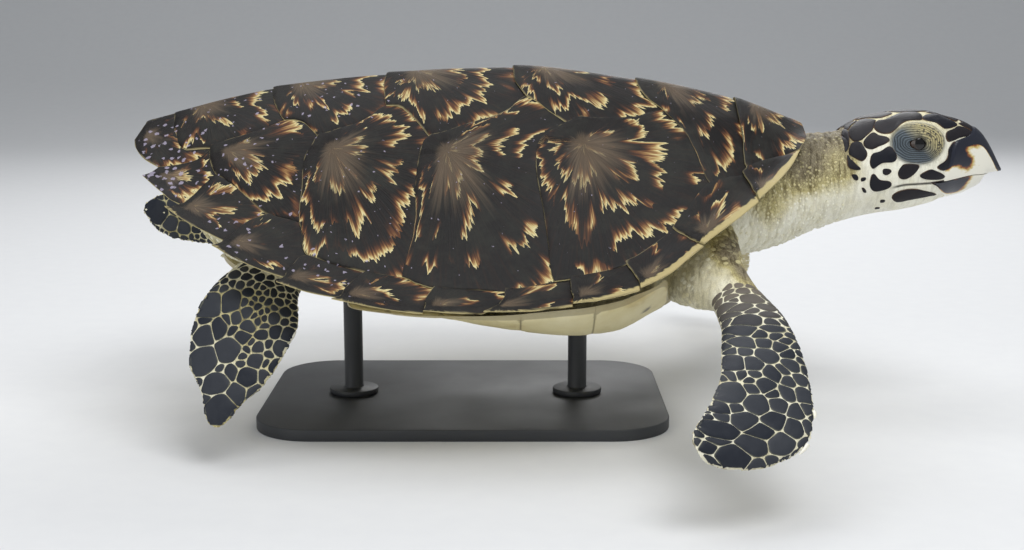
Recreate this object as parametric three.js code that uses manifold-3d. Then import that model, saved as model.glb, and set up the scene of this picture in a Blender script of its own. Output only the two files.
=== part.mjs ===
// A hawksbill sea turtle (Eretmochelys imbricata) as a life-size, still museum model.
// The animal glides level, rolled a little onto its right side, and stands on a plain
// steel base with two rods under the plastron.
//
// Millimetres. +X runs to the head, +Y to the animal's left, +Z up. The origin is the
// middle of the stand's underside, straight below the middle of the carapace.
//
// The shell is drawn in the body frame (origin in the middle of the carapace) and rolled
// as one group. Flippers, neck and head are drawn straight in the model's own frame.

import * as THREE from "three";
import { mergeVertices } from "three/addons/utils/BufferGeometryUtils.js";
import Module from "manifold-3d";

const wasm = await Module();
wasm.setup();

// ---------------------------------------------------------------- driving dimensions

const BODY_ROLL = 10; // degrees the shell leans onto its right side
const BODY_HEIGHT = 208; // the body frame's origin above the floor

const SCUTE_THICK = 6; // carapace plates, measured upright
const MARGINAL_THICK = 5; // thin plates of the flared rear rim
const SCUTE_LIFT = 3; // rise of each plate's free rear edge over the next plate
const KEEL_HEIGHT = 3; // the low median keel
const KEEL_WIDTH = 14;
const SEAM_GAP = 0.2; // each plate stands back this far from its seam
const CELL = [64, 38]; // facet size of the shell, along and across
const PLASTRON_THICK = 8;
const BRIDGE_THICK = 7;
const BRIDGE_INNER = 125; // where the bridge meets the plastron
const FLESH_GAP = 1; // trunk to shell
const SLIVER = 0.04; // facets thinner than this are merged away

const EYE_RADIUS = 13.5;
const EYE = [462, 42.5, 284];
const EYE_FACETS = [12, 7];
const SOCKET_GAP = 0.3;
const LID_MOUND = [31, 17, 23];
const LID_OPENING = [11, 12, 7];

const NAPE = 398; // where the head parts from the neck

const BASE_LENGTH = 420;
const BASE_WIDTH = 300;
const BASE_THICK = 12;
const BASE_CORNER = 60;
const ROD_RADIUS = 10;
const ROD_FOOT = 26;
const ROD_FOOT_THICK = 6;
const ROD_HEAD = 24;
const ROD_X = [120, -120];

// Profile of the carapace along its length: [x, height] and [x, half width].
const RIDGE = [
  [-350, 86], [-300, 101], [-191, 129], [-73, 144], [55, 151], [178, 138], [264, 122], [350, 93],
];
const RIM = [
  [-350, 84], [-315, 67], [-280, 49], [-226, 27], [-164, 5], [-112, -5], [-27, -13], [39, -13],
  [102, -9], [160, -2], [190, 8], [220, 25], [250, 42], [285, 58], [320, 74], [350, 92],
];
const HALF_WIDTH = [
  [-350, 22], [-318, 88], [-277, 143], [-226, 193], [-164, 230], [-80, 254], [10, 260],
  [102, 250], [180, 227], [240, 188], [290, 138], [325, 88], [350, 46],
];
const DOME_LINEAR = 0.3; // share of straight slope in the dome's cross profile
// Underside: height of the flat middle, its half width, and how the bridge curves up.
const PLASTRON_BASE = [
  [-262, -36], [-225, -44], [-170, -48], [-100, -50], [-22, -54], [22, -62], [70, -69],
  [115, -72], [147, -71], [187, -64], [215, -58], [255, -46],
];
const PLASTRON_FLAT = [
  [-262, 60], [-170, 78], [-100, 85], [-22, 95], [22, 110], [115, 137], [147, 137], [166, 130],
  [187, 120], [255, 90],
];
const BRIDGE_CURVE = [[-100, 1], [-22, 1.6], [22, 2.3], [115, 2.6], [147, 2.4], [187, 1.6]];

// Plan of the seams on the left half, seen from above; the right half mirrors it.
// Junctions where three plates meet.
const J = {
  front: [350, 0],
  nuchalRim: [338, 60],
  nuchalRear: [281, 96],
  marginal1: [277, 103],
  v1: [244, 118],
  t1: [204, 40],
  c1: [108, 72],
  t2: [67, 42],
  c2: [-28, 86],
  t3: [-73, 47],
  c3: [-138, 76],
  t4: [-175, 51],
  c4: [-247, 67],
  marginal2: [204, 163],
  marginal3: [158, 196],
  marginal4: [105, 214],
  foot1: [90, 217],
  marginal5: [45, 227],
  marginal6: [-20, 225],
  foot2: [-49, 213],
  marginal7: [-84, 208],
  marginal8: [-137, 190],
  foot3: [-149, 158],
  marginal9: [-181, 146],
  marginal10: [-237, 99],
};

// Seams between junctions, given from front to rear or from the ridge outwards.
const SEAM = {
  nuchalSide: [J.nuchalRear, [293, 87], [307, 77], [320, 69], J.nuchalRim],
  nuchalVertebral: [[282, 0], [283, 43], [283, 66], J.nuchalRear],
  vertebral1Side: [J.t1, [218, 55], [226, 66], [233, 82], [238, 98], J.v1],
  vertebral1Front: [J.v1, J.marginal1, J.nuchalRear],
  v1v2: [[180, 0], [187, 24], J.t1],
  v2v3: [[54, 0], [57, 24], J.t2],
  v3v4: [[-74, 0], [-76, 24], J.t3],
  v4v5: [[-191, 0], [-187, 26], J.t4],
  v2c1: [J.t1, [180, 52], [158, 58], [135, 62], [119, 64], J.c1],
  v2c2: [J.t2, [88, 57], J.c1],
  v3c2: [J.t2, [52, 58], [36, 66], [12, 73], [-10, 80], J.c2],
  v3c3: [J.t3, [-58, 52], [-42, 66], J.c2],
  v4c3: [J.t3, [-88, 60], [-104, 67], [-122, 71], J.c3],
  v4c4: [J.t4, [-162, 55], [-148, 63], J.c3],
  v5c4: [J.t4, [-194, 57], [-215, 62], [-233, 64], J.c4],
  c1c2: [J.c1, [88, 85], [79, 97], [77, 114], [80, 134], [85, 160], [88, 186], J.foot1],
  c2c3: [J.c2, [-35, 97], [-39, 126], [-38, 158], [-42, 186], J.foot2],
  c3c4: [J.c3, [-143, 86], [-149, 101], [-149, 126], J.foot3],
  v5rear: [[-295, 0], [-289, 30], [-277, 57], [-261, 64], J.c4],
  c4rear: [J.marginal10, [-244, 84], J.c4],
};

// Each marginal: its seam with the plate behind it, then its free rim to that seam.
const MARGINAL_SEAM = [
  [J.nuchalRear, [293, 87], [307, 77], [320, 69], J.nuchalRim],
  [J.marginal1, [284, 124], [285, 147]],
  [J.marginal2, [216, 176], [228, 196]],
  [J.marginal3, [166, 212], [167, 232]],
  [J.marginal4, [106, 230], [105, 250]],
  [J.marginal5, [44, 241], [24, 260]],
  [J.marginal6, [-27, 242], [-30, 258]],
  [J.marginal7, [-96, 224], [-106, 243]],
  [J.marginal8, [-147, 196], [-158, 219]],
  [J.marginal9, [-204, 160], [-217, 180]],
  [J.marginal10, [-249, 112], [-265, 132]],
  [J.c4, [-262, 77], [-300, 78]],
];
const MARGINAL_RIM = [
  [J.nuchalRim, [326, 88], [307, 118], [285, 147]],
  [[285, 147], [258, 174], [228, 196]],
  [[228, 196], [198, 218], [167, 232]],
  [[167, 232], [137, 243], [105, 250]],
  [[105, 250], [64, 257], [24, 260]],
  [[24, 260], [-4, 260], [-30, 258]],
  [[-30, 258], [-70, 255], [-113, 249], [-106, 243]],
  [[-106, 243], [-136, 239], [-165, 231], [-158, 219]],
  [[-158, 219], [-194, 210], [-229, 195], [-217, 180]],
  [[-217, 180], [-250, 165], [-282, 144], [-265, 132]],
  [[-265, 132], [-290, 116], [-313, 95], [-300, 78]],
  [[-300, 78], [-319, 62], [-331, 42], [-335, 28], [-328, 5]],
];

// Inner boundary of marginals 2 to 11, from the seam in front to the seam behind.
const MARGINAL_INNER = [
  [J.nuchalRear, J.marginal1],
  [J.marginal1, J.v1, J.marginal2],
  [J.marginal2, J.marginal3],
  [J.marginal3, J.marginal4],
  [J.marginal4, J.foot1, J.marginal5],
  [J.marginal5, J.marginal6],
  [J.marginal6, J.foot2, J.marginal7],
  [J.marginal7, J.marginal8],
  [J.marginal8, J.foot3, J.marginal9],
  [J.marginal9, [-211, 119], J.marginal10],
  [J.marginal10, [-244, 84], J.c4],
  [J.c4, [-261, 64], [-277, 57], [-289, 30], [-295, 0]],
];

const PLASTRON_HALF = [
  [254, 0], [251, 35], [238, 70], [216, 98], [196, 125], [-97, 125], [-112, 112], [-160, 100],
  [-215, 80], [-246, 48], [-256, 0],
];
const TRUNK_HALF = [
  [262, 0], [258, 60], [236, 104], [200, 122], [184, 190], [130, 206], [-80, 206], [-136, 140],
  [-190, 116], [-240, 84], [-272, 48], [-282, 0],
];
// Behind the bridge the belly skin climbs from the plastron's edge to the carapace.
const LOBE_HALF = [[-262, 28], [-246, 48], [-215, 80], [-160, 100], [-112, 112], [-97, 125]];
const BELLY_RISE = 0.8;
const BELLY_REAR = -238;

// Fins and limbs: [lead edge, trail edge, thickness] from the body outwards.
const FORE_FLIPPER = [
  [[262, 60, 215], [190, 60, 150], 80],
  [[268, 105, 208], [196, 105, 143], 70],
  [[269, 140, 195], [205, 140, 139], 54],
  [[270, 165, 183], [216, 165, 140], 42],
  [[280, 215, 162], [234, 215, 147], 30],
  [[297, 262, 144], [235, 262, 140], 23],
  [[305, 305, 121], [230, 305, 128], 18],
  [[306, 345, 98], [224, 345, 115], 15],
  [[301, 378, 75], [212, 378, 102], 12],
  [[281, 400, 58], [203, 400, 97], 10],
  [[249, 415, 53], [196, 415, 92], 8],
  [[218, 425, 57], [191, 425, 84], 6],
  [[201, 429, 64], [195, 429, 76], 4],
];
const LEFT_SWEEP = 0.27; // the left fore flipper reaches further forward, mm per mm
const LEFT_RAISE = 6;
const SWEEP_FROM = 150;
const HIND_FLIPPER_RIGHT = [
  [[-190, -80, 200], [-120, -80, 160], 60],
  [[-205, -115, 188], [-140, -115, 155], 50],
  [[-215, -140, 177], [-152, -140, 152], 38],
  [[-234, -165, 161], [-153, -165, 143], 27],
  [[-247, -185, 141], [-150, -185, 127], 19],
  [[-253, -200, 113], [-157, -200, 108], 15],
  [[-252, -212, 92], [-168, -212, 88], 12],
  [[-243, -222, 77], [-182, -222, 71], 10],
  [[-237, -230, 62], [-198, -230, 58], 8],
  [[-234, -236, 47], [-209, -236, 45], 6],
  [[-227, -239, 39], [-217, -239, 39], 4],
];
const HIND_FLIPPER_LEFT = [
  [[-135, 80, 212], [-135, 80, 150], 60],
  [[-170, 100, 210], [-170, 96, 150], 48],
  [[-208, 114, 211], [-205, 110, 152], 36],
  [[-252, 125, 216], [-252, 120, 151], 26],
  [[-296, 133, 219], [-296, 127, 151], 18],
  [[-333, 139, 217], [-333, 132, 155], 13],
  [[-358, 142, 211], [-356, 136, 163], 10],
  [[-372, 144, 203], [-368, 139, 175], 7],
  [[-378, 144, 194], [-376, 142, 185], 4],
];
const TAIL = [
  [[-170, 0, 204], [-170, 0, 146], 70],
  [[-205, 0, 192], [-205, 0, 148], 50],
  [[-235, 0, 180], [-235, 0, 151], 30],
  [[-252, 0, 170], [-252, 0, 154], 15],
  [[-262, 0, 163], [-262, 0, 157], 6],
];

// Neck and head: [x, bottom, top, half width].
const NECK = [
  [215, 155, 258, 104], [245, 158, 268, 100], [275, 161, 277, 90], [300, 165, 283, 80],
  [330, 173, 289, 68], [351, 182, 291.5, 61], [372, 190.5, 292.5, 56], [390, 196.5, 294, 52],
  [404, 200.5, 299, 50],
];
const HEAD = [
  [390, 198, 293, 47], [404, 201, 302.5, 50], [418, 204.5, 308.5, 53], [434, 207.5, 312, 55.5],
  [450, 209.5, 314.5, 56], [466, 212.5, 315.5, 54.5], [482, 216.5, 314.5, 50],
  [496, 220.5, 312.2, 43.5], [509, 225.5, 309.3, 36.5], [520, 228, 305.5, 30.5],
  [530, 232.5, 300, 24.5], [539, 237.5, 293, 19], [546, 247, 284, 14.5], [552, 249.6, 274.5, 10],
  [558, 250.6, 263.5, 6], [563, 251.2, 254.5, 2.5],
];

// Side views of the horn beak, as [x, z]: the sheaths run to the line of the mouth.
const BEAK_UPPER = [
  [490, 244.2], [508, 246.9], [526, 249.5], [545, 249.6], [565, 251.3], [600, 251.3],
  [600, 330], [545, 330], [524, 293], [503, 285], [497, 268],
];
const BEAK_LOWER = [
  [478, 243], [491, 243.4], [508, 246.1], [526, 248.7], [545, 248.8], [565, 250.5],
  [600, 250.5], [600, 215], [508, 215], [500, 226],
];
const SHEATH_FRONT = [
  [477.5, 243.3], [489.7, 244.4], [496.6, 268.1], [502.6, 285.3], [523.6, 293.3],
  [544.7, 330], [600, 330], [600, 215], [507.6, 215], [499.6, 226],
];

// ---------------------------------------------------------------- colours

const COLOUR = {
  scute: 0x3b2a20,
  marginal: 0x45342a,
  pale: 0xcfc49a,
  skin: 0xa89f88,
  headSkin: 0xb7ae96,
  horn: 0xdccfa4,
  eye: 0x15120f,
  steel: 0x2b2d30,
};

// ---------------------------------------------------------------- plain helpers

// A smooth curve through [x, value] pairs, flat beyond its ends.
function through(pairs) {
  const last = pairs.length - 1;
  const step = [];
  for (let i = 0; i < last; i += 1) {
    step.push((pairs[i + 1][1] - pairs[i][1]) / (pairs[i + 1][0] - pairs[i][0]));
  }
  const slope = pairs.map((pair, i) => {
    const before = step[Math.max(i - 1, 0)];
    const after = step[Math.min(i, last - 1)];
    return before * after > 0 ? (2 * before * after) / (before + after) : 0;
  });
  return (x) => {
    const at = Math.min(Math.max(x, pairs[0][0]), pairs[last][0]);
    let i = 0;
    while (i < last - 1 && at > pairs[i + 1][0]) {
      i += 1;
    }
    const span = pairs[i + 1][0] - pairs[i][0];
    const t = (at - pairs[i][0]) / span;
    const rise = pairs[i + 1][1] - pairs[i][1];
    const ease = t * t * (3 - 2 * t);
    const lead = t * (1 - t) * (1 - t) * slope[i] * span;
    const trail = t * t * (t - 1) * slope[i + 1] * span;
    return pairs[i][1] + rise * ease + lead + trail;
  };
}

const ridgeZ = through(RIDGE);
const rimZ = through(RIM);
const halfWidth = through(HALF_WIDTH);
const plastronZ = through(PLASTRON_BASE);
const plastronFlat = through(PLASTRON_FLAT);
const bridgeCurve = through(BRIDGE_CURVE);

// Height of the carapace over the plan point (x, y).
function domeZ(x, y) {
  const s = Math.min(Math.abs(y) / halfWidth(x), 1);
  const straight = DOME_LINEAR * (1 - s);
  const round = (1 - DOME_LINEAR) * 0.5 * (1 + Math.cos(Math.PI * s));
  const keel = KEEL_HEIGHT * Math.exp(-((y / KEEL_WIDTH) ** 2));
  return rimZ(x) + (ridgeZ(x) - rimZ(x)) * (straight + round) + keel;
}

// Height of the shell's underside: flat plastron, then the bridge rising to the rim.
function underZ(x, y) {
  const flat = plastronZ(x);
  const start = plastronFlat(x);
  const u = Math.min(Math.max((Math.abs(y) - start) / (halfWidth(x) - start), 0), 1);
  return flat + (rimZ(x) - SCUTE_THICK - flat) * u ** bridgeCurve(x);
}

function mirrored(points) {
  return points.map(([x, y]) => [x, -y]).reverse();
}

// Closes a half plan that starts and ends on the midline.
function bothHalves(half) {
  const other = half.filter(([, y]) => y > 0);
  return [...half, ...mirrored(other)];
}

// Pulls a closed plan outline inwards by a distance, corner by corner.
function inset(points, distance) {
  const loop = THREE.ShapeUtils.isClockWise(points.map(([x, y]) => new THREE.Vector2(x, y)))
    ? [...points].reverse()
    : points;
  return loop.map((here, i) => {
    const before = loop[(i + loop.length - 1) % loop.length];
    const after = loop[(i + 1) % loop.length];
    const a = new THREE.Vector2(here[0] - before[0], here[1] - before[1]).normalize();
    const b = new THREE.Vector2(after[0] - here[0], after[1] - here[1]).normalize();
    const normal = new THREE.Vector2(-a.y - b.y, a.x + b.x).normalize();
    const stretch = Math.min(1 / Math.max(normal.dot(new THREE.Vector2(-a.y, a.x)), 0.3), 3);
    return [here[0] + normal.x * distance * stretch, here[1] + normal.y * distance * stretch];
  });
}

// ---------------------------------------------------------------- solids

// Turns a closed three.js geometry into a solid that can be joined and cut.
function solid(geometry) {
  const plain = geometry.index ? geometry.toNonIndexed() : geometry.clone();
  plain.deleteAttribute("normal");
  plain.deleteAttribute("uv");
  const merged = mergeVertices(plain, 1e-4);
  const mesh = new wasm.Mesh({
    numProp: 3,
    vertProperties: Float32Array.from(merged.attributes.position.array),
    triVerts: Uint32Array.from(merged.index.array),
  });
  return new wasm.Manifold(mesh);
}

function toGeometry(body) {
  const mesh = body.asOriginal().simplify(SLIVER).getMesh();
  const geometry = new THREE.BufferGeometry();
  const position = Float32Array.from(mesh.vertProperties);
  geometry.setAttribute("position", new THREE.BufferAttribute(position, 3));
  geometry.setIndex(Array.from(mesh.triVerts));
  geometry.computeVertexNormals();
  return geometry;
}

function placed(body, matrix) {
  const geometry = toGeometry(body);
  geometry.applyMatrix4(matrix);
  return solid(geometry);
}

// An upright prism over a plan outline.
function prism(points, low = -200, high = 400) {
  const shape = new THREE.Shape(points.map(([x, y]) => new THREE.Vector2(x, y)));
  const geometry = new THREE.ExtrudeGeometry(shape, { depth: high - low, bevelEnabled: false });
  geometry.translate(0, 0, low);
  return solid(geometry);
}

// A prism across the animal over an outline drawn in side view, as [x, z] pairs.
function sidePrism(points, reach = 120) {
  const shape = new THREE.Shape(points.map(([x, z]) => new THREE.Vector2(x, z)));
  const geometry = new THREE.ExtrudeGeometry(shape, { depth: 2 * reach, bevelEnabled: false });
  geometry.translate(0, 0, -reach);
  geometry.rotateX(Math.PI / 2);
  return solid(geometry);
}

function box(low, high) {
  const size = high.map((value, i) => value - low[i]);
  const geometry = new THREE.BoxGeometry(...size);
  geometry.translate(...low.map((value, i) => value + size[i] / 2));
  return solid(geometry);
}

function ellipsoid(centre, radii, wide = 10, high = 6) {
  const geometry = new THREE.SphereGeometry(1, wide, high);
  geometry.rotateX(Math.PI / 2);
  geometry.scale(...radii);
  geometry.translate(...centre);
  return solid(geometry);
}

// A slab over a plan rectangle whose upper and lower faces follow two height functions.
// The facets lie on one fixed grid, so neighbouring slabs have matching facets.
function slab(points, topZ, bottomZ) {
  const snap = (value, cell, way) => way(value / cell) * cell;
  const [low, high] = [0, 1].reduce((ends, axis) => {
    const values = points.map((point) => point[axis]);
    ends[0].push(snap(Math.min(...values) - 1, CELL[axis], Math.floor));
    ends[1].push(snap(Math.max(...values) + 1, CELL[axis], Math.ceil));
    return ends;
  }, [[], []]);
  const [x0, y0] = low;
  const [x1, y1] = high;
  const nx = Math.round((x1 - x0) / CELL[0]);
  const ny = Math.round((y1 - y0) / CELL[1]);
  const geometry = new THREE.BoxGeometry(x1 - x0, y1 - y0, 1, nx, ny, 1);
  geometry.translate((x0 + x1) / 2, (y0 + y1) / 2, 0);
  const position = geometry.attributes.position;
  for (let i = 0; i < position.count; i += 1) {
    const x = position.getX(i);
    const y = position.getY(i);
    position.setZ(i, position.getZ(i) > 0 ? topZ(x, y) : bottomZ(x, y));
  }
  return solid(geometry).intersect(prism(points));
}

// A closed loft: rings of points laid on a capped cylinder.
function loft(ring, rings, around) {
  const geometry = new THREE.CylinderGeometry(1, 1, 1, around, rings - 1, false);
  const position = geometry.attributes.position;
  const point = new THREE.Vector3();
  for (let i = 0; i < position.count; i += 1) {
    point.fromBufferAttribute(position, i);
    const level = Math.round((0.5 - point.y) * (rings - 1));
    const centre = Math.hypot(point.x, point.z) < 1e-6;
    const angle = Math.atan2(point.z, point.x);
    const at = ring(level, centre ? null : angle);
    position.setXYZ(i, at.x, at.y, at.z);
  }
  const body = solid(geometry);
  return body.volume() < 0 ? solid(flipped(geometry)) : body;
}

function flipped(geometry) {
  const plain = geometry.toNonIndexed();
  const array = plain.attributes.position.array;
  for (let i = 0; i < array.length; i += 9) {
    for (let k = 0; k < 3; k += 1) {
      const keep = array[i + 3 + k];
      array[i + 3 + k] = array[i + 6 + k];
      array[i + 6 + k] = keep;
    }
  }
  return plain;
}

// A fin: lens-shaped sections between a leading and a trailing edge.
function fin(stations, around = 12) {
  const lead = stations.map(([a]) => new THREE.Vector3(...a));
  const trail = stations.map(([, b]) => new THREE.Vector3(...b));
  const middle = lead.map((a, i) => a.clone().add(trail[i]).multiplyScalar(0.5));
  const ring = (level, angle) => {
    const at = middle[level].clone();
    if (angle === null) {
      return at;
    }
    const ahead = middle[Math.min(level + 1, stations.length - 1)];
    const behind = middle[Math.max(level - 1, 0)];
    const chord = lead[level].clone().sub(trail[level]).multiplyScalar(0.5);
    const along = ahead.clone().sub(behind);
    const across = along.cross(chord).normalize();
    at.addScaledVector(chord, Math.cos(angle));
    at.addScaledVector(across, (Math.sin(angle) * stations[level][2]) / 2);
    return at;
  };
  return loft(ring, stations.length, around);
}

// A round body along +X with its own height, width and squareness.
function barrel(stations, around, square) {
  const ring = (level, angle) => {
    const [x, bottom, top, half] = stations[level];
    const middle = (bottom + top) / 2;
    if (angle === null) {
      return new THREE.Vector3(x, 0, middle);
    }
    const power = (value) => Math.sign(value) * Math.abs(value) ** (2 / square);
    const y = half * power(Math.cos(angle));
    return new THREE.Vector3(x, y, middle + ((top - bottom) / 2) * power(Math.sin(angle)));
  };
  return loft(ring, stations.length, around);
}

// ---------------------------------------------------------------- the model

const turtle = new THREE.Group();
const shell = new THREE.Group();
shell.rotation.x = THREE.MathUtils.degToRad(BODY_ROLL);
shell.position.z = BODY_HEIGHT;
turtle.add(shell);
shell.updateMatrix();
const rolled = shell.matrix.clone();

function addMesh(parent, name, geometry, color, roughness, metalness = 0) {
  const material = new THREE.MeshStandardMaterial({ color, roughness, metalness });
  const mesh = new THREE.Mesh(geometry, material);
  mesh.name = name;
  parent.add(mesh);
  return mesh;
}

// One plate of the carapace: its free rear edge stands proud of the plate behind.
function scute(name, outline, thick, color) {
  const plan = inset(outline, SEAM_GAP);
  const xs = outline.map(([x]) => x);
  const front = Math.max(...xs);
  const rear = Math.min(...xs);
  const lift = (x) => SCUTE_LIFT * Math.min(Math.max((front - x) / (front - rear), 0), 1);
  const top = (x, y) => domeZ(x, y) + lift(x);
  const bottom = (x, y) => domeZ(x, y) - thick;
  const body = slab(plan, top, bottom);
  addMesh(shell, name, toGeometry(body), color, 0.32);
}

function backwards(seam) {
  return [...seam].reverse();
}

function joined(...seams) {
  const loop = [];
  for (const point of seams.flat()) {
    const last = loop[loop.length - 1];
    if (!last || last[0] !== point[0] || last[1] !== point[1]) {
      loop.push(point);
    }
  }
  const [first] = loop;
  const last = loop[loop.length - 1];
  if (first[0] === last[0] && first[1] === last[1]) {
    loop.pop();
  }
  return loop;
}

const nuchalHalf = joined([J.front, [349, 34]], backwards(SEAM.nuchalSide),
  backwards(SEAM.nuchalVertebral));
const vertebralHalf = [
  joined(SEAM.nuchalVertebral, backwards(SEAM.vertebral1Front), backwards(SEAM.vertebral1Side),
    backwards(SEAM.v1v2)),
  joined(SEAM.v1v2, SEAM.v2c1, backwards(SEAM.v2c2), backwards(SEAM.v2v3)),
  joined(SEAM.v2v3, SEAM.v3c2, backwards(SEAM.v3c3), backwards(SEAM.v3v4)),
  joined(SEAM.v3v4, SEAM.v4c3, backwards(SEAM.v4c4), backwards(SEAM.v4v5)),
  joined(SEAM.v4v5, SEAM.v5c4, backwards(SEAM.v5rear)),
];
const costal = [
  joined(SEAM.v2c1, SEAM.c1c2, [J.foot1, J.marginal4, J.marginal3, J.marginal2, J.v1],
    backwards(SEAM.vertebral1Side)),
  joined(backwards(SEAM.v2c2), SEAM.v3c2, SEAM.c2c3,
    [J.foot2, J.marginal6, J.marginal5, J.foot1], backwards(SEAM.c1c2)),
  joined(backwards(SEAM.v3c3), SEAM.v4c3, SEAM.c3c4,
    [J.foot3, J.marginal8, J.marginal7, J.foot2], backwards(SEAM.c2c3)),
  joined(backwards(SEAM.v4c4), SEAM.v5c4, backwards(SEAM.c4rear),
    [J.marginal10, [-211, 119], J.marginal9, J.foot3], backwards(SEAM.c3c4)),
];

scute("nuchal", bothHalves(nuchalHalf), SCUTE_THICK, COLOUR.scute);
vertebralHalf.forEach((half, i) => {
  scute(`vertebral_${i + 1}`, bothHalves(half), SCUTE_THICK, COLOUR.scute);
});
costal.forEach((outline, i) => {
  scute(`costal_left_${i + 1}`, outline, SCUTE_THICK, COLOUR.scute);
  scute(`costal_right_${i + 1}`, mirrored(outline), SCUTE_THICK, COLOUR.scute);
});

for (let i = 0; i < 12; i += 1) {
  const seamAhead = MARGINAL_SEAM[i];
  const rim = MARGINAL_RIM[i];
  const isLast = i === 11;
  const seamBehind = isLast ? [[-295, 0], [-328, 0]] : MARGINAL_SEAM[i + 1];
  const outline = joined(seamAhead, rim, backwards(seamBehind), backwards(MARGINAL_INNER[i]));
  const thick = i < 7 ? SCUTE_THICK : MARGINAL_THICK;
  scute(`marginal_left_${i + 1}`, outline, thick, COLOUR.marginal);
  scute(`marginal_right_${i + 1}`, mirrored(outline), thick, COLOUR.marginal);
}

// Plastron and bridges.
const plastronOutline = bothHalves(PLASTRON_HALF);
const plastronBody = slab(plastronOutline, (x, y) => underZ(x, y) + PLASTRON_THICK, underZ);
addMesh(shell, "plastron", toGeometry(plastronBody), COLOUR.pale, 0.45);

const bridgeRim = [190, 150, 110, 70, 24, -20, -60, -96].map((x) => [x, halfWidth(x) - 6]);
const bridgeOutline = [[196, BRIDGE_INNER], [199, 170], ...bridgeRim, [-104, 190],
  [-101, BRIDGE_INNER]];
const bridgeTop = (x, y) => {
  const cover = domeZ(x, y) - SCUTE_THICK - 0.5;
  return Math.min(underZ(x, y) + BRIDGE_THICK, cover);
};
const bridgeBody = slab(inset(bridgeOutline, SEAM_GAP), bridgeTop, underZ);
addMesh(shell, "bridge_left", toGeometry(bridgeBody), COLOUR.pale, 0.45);
const bridgeMirror = slab(inset(mirrored(bridgeOutline), SEAM_GAP), bridgeTop, underZ);
addMesh(shell, "bridge_right", toGeometry(bridgeMirror), COLOUR.pale, 0.45);

// Space taken by the shell, which the flesh keeps clear of.
const shellPlan = bothHalves([J.front, [349, 34], ...MARGINAL_RIM.flat(), [-328, 0]]
  .filter((point, i, all) => i === 0 || point !== all[i - 1]));
const roof = placed(slab(inset(shellPlan, -3), () => 320,
  (x, y) => domeZ(x, y) - SCUTE_THICK - FLESH_GAP), rolled);
const floorPlan = inset(bothHalves([...PLASTRON_HALF.slice(0, 4), [199, BRIDGE_INNER],
  [202, 172], ...bridgeRim.map(([x, y]) => [x, y + 4]), [-108, 190], [-104, BRIDGE_INNER],
  ...PLASTRON_HALF.slice(6)]), -1);
const floorBody = placed(slab(floorPlan,
  (x, y) => underZ(x, y) + PLASTRON_THICK + FLESH_GAP, () => -250), rolled);

// Flesh: trunk, neck, limbs and tail are one body first, then parted at the joints.
function mirrorStation([lead, trail, thick]) {
  return [[lead[0], -lead[1], lead[2]], [trail[0], -trail[1], trail[2]], thick];
}

function sweptStation([lead, trail, thick]) {
  const move = ([x, y, z]) => {
    const out = Math.max(y - SWEEP_FROM, 0);
    return [x + LEFT_SWEEP * out, y, z + LEFT_RAISE * Math.min(out / 60, 1)];
  };
  return [move(lead), move(trail), thick];
}

// The trunk fills the shell: a block over its plan, cut by the roof and the floor.
const lobeHalf = through(LOBE_HALF);
function bellyZ(x, y) {
  const aside = x < -100 ? Math.max(Math.abs(y) - lobeHalf(x), BELLY_REAR - x, 0) : 0;
  return Math.min(underZ(x, y) + 3 + BELLY_RISE * aside, domeZ(x, y) - 14);
}
const trunkBlock = placed(slab(bothHalves(TRUNK_HALF), () => 250, bellyZ), rolled);
const neckBody = barrel(NECK, 16, 2.2);
const headLoft = barrel(HEAD, 18, 2.35);
const lids = [1, -1].map((side) => ellipsoid([EYE[0], side * (EYE[1] - 2), EYE[2]], LID_MOUND));
const sockets = [1, -1].map((side) => {
  const centre = [EYE[0], side * EYE[1], EYE[2]];
  const radius = EYE_RADIUS + SOCKET_GAP;
  const ball = ellipsoid(centre, [radius, radius, radius], ...EYE_FACETS);
  return ball.add(ellipsoid([EYE[0], side * (EYE[1] + 20), EYE[2]], LID_OPENING));
});

const flesh = [
  trunkBlock,
  neckBody,
  headLoft,
  ...lids,
  fin(FORE_FLIPPER.map(mirrorStation)),
  fin(FORE_FLIPPER.map(sweptStation)),
  fin(HIND_FLIPPER_RIGHT),
  fin(HIND_FLIPPER_LEFT),
  fin(TAIL),
].reduce((whole, piece) => whole.add(piece))
  .subtract(roof)
  .subtract(floorBody)
  .subtract(sockets[0])
  .subtract(sockets[1]);

// Takes the part of the flesh inside a box away from the rest, with a thin gap between.
const GAP = 0.3;
let rest = flesh;
function parted(low, high) {
  const taken = rest.intersect(box(low, high));
  rest = rest.subtract(box(low.map((v) => v - GAP), high.map((v) => v + GAP)));
  return taken;
}

function largest(body) {
  return body.decompose().sort((a, b) => b.volume() - a.volume())[0];
}

const headBody = parted([NAPE, -90, 150], [620, 90, 360]);
const neck = parted([300, -118, 120], [NAPE - GAP, 118, 360]);
const limbs = {
  fore_flipper_right: parted([201, -460, 20], [420, -150, 230]),
  fore_flipper_left: parted([201, 150, 20], [420, 460, 260]),
  hind_flipper_right: parted([-300, -300, 20], [-125, -128, 215]),
  hind_flipper_left: parted([-420, 90, 120], [-205, 220, 240]),
  tail: parted([-330, -40, 120], [-205, 40, 230]),
};

const beakUpper = headBody.intersect(sidePrism(BEAK_UPPER));
const beakLower = headBody.intersect(sidePrism(BEAK_LOWER));
const head = headBody.subtract(sidePrism(SHEATH_FRONT));

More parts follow.
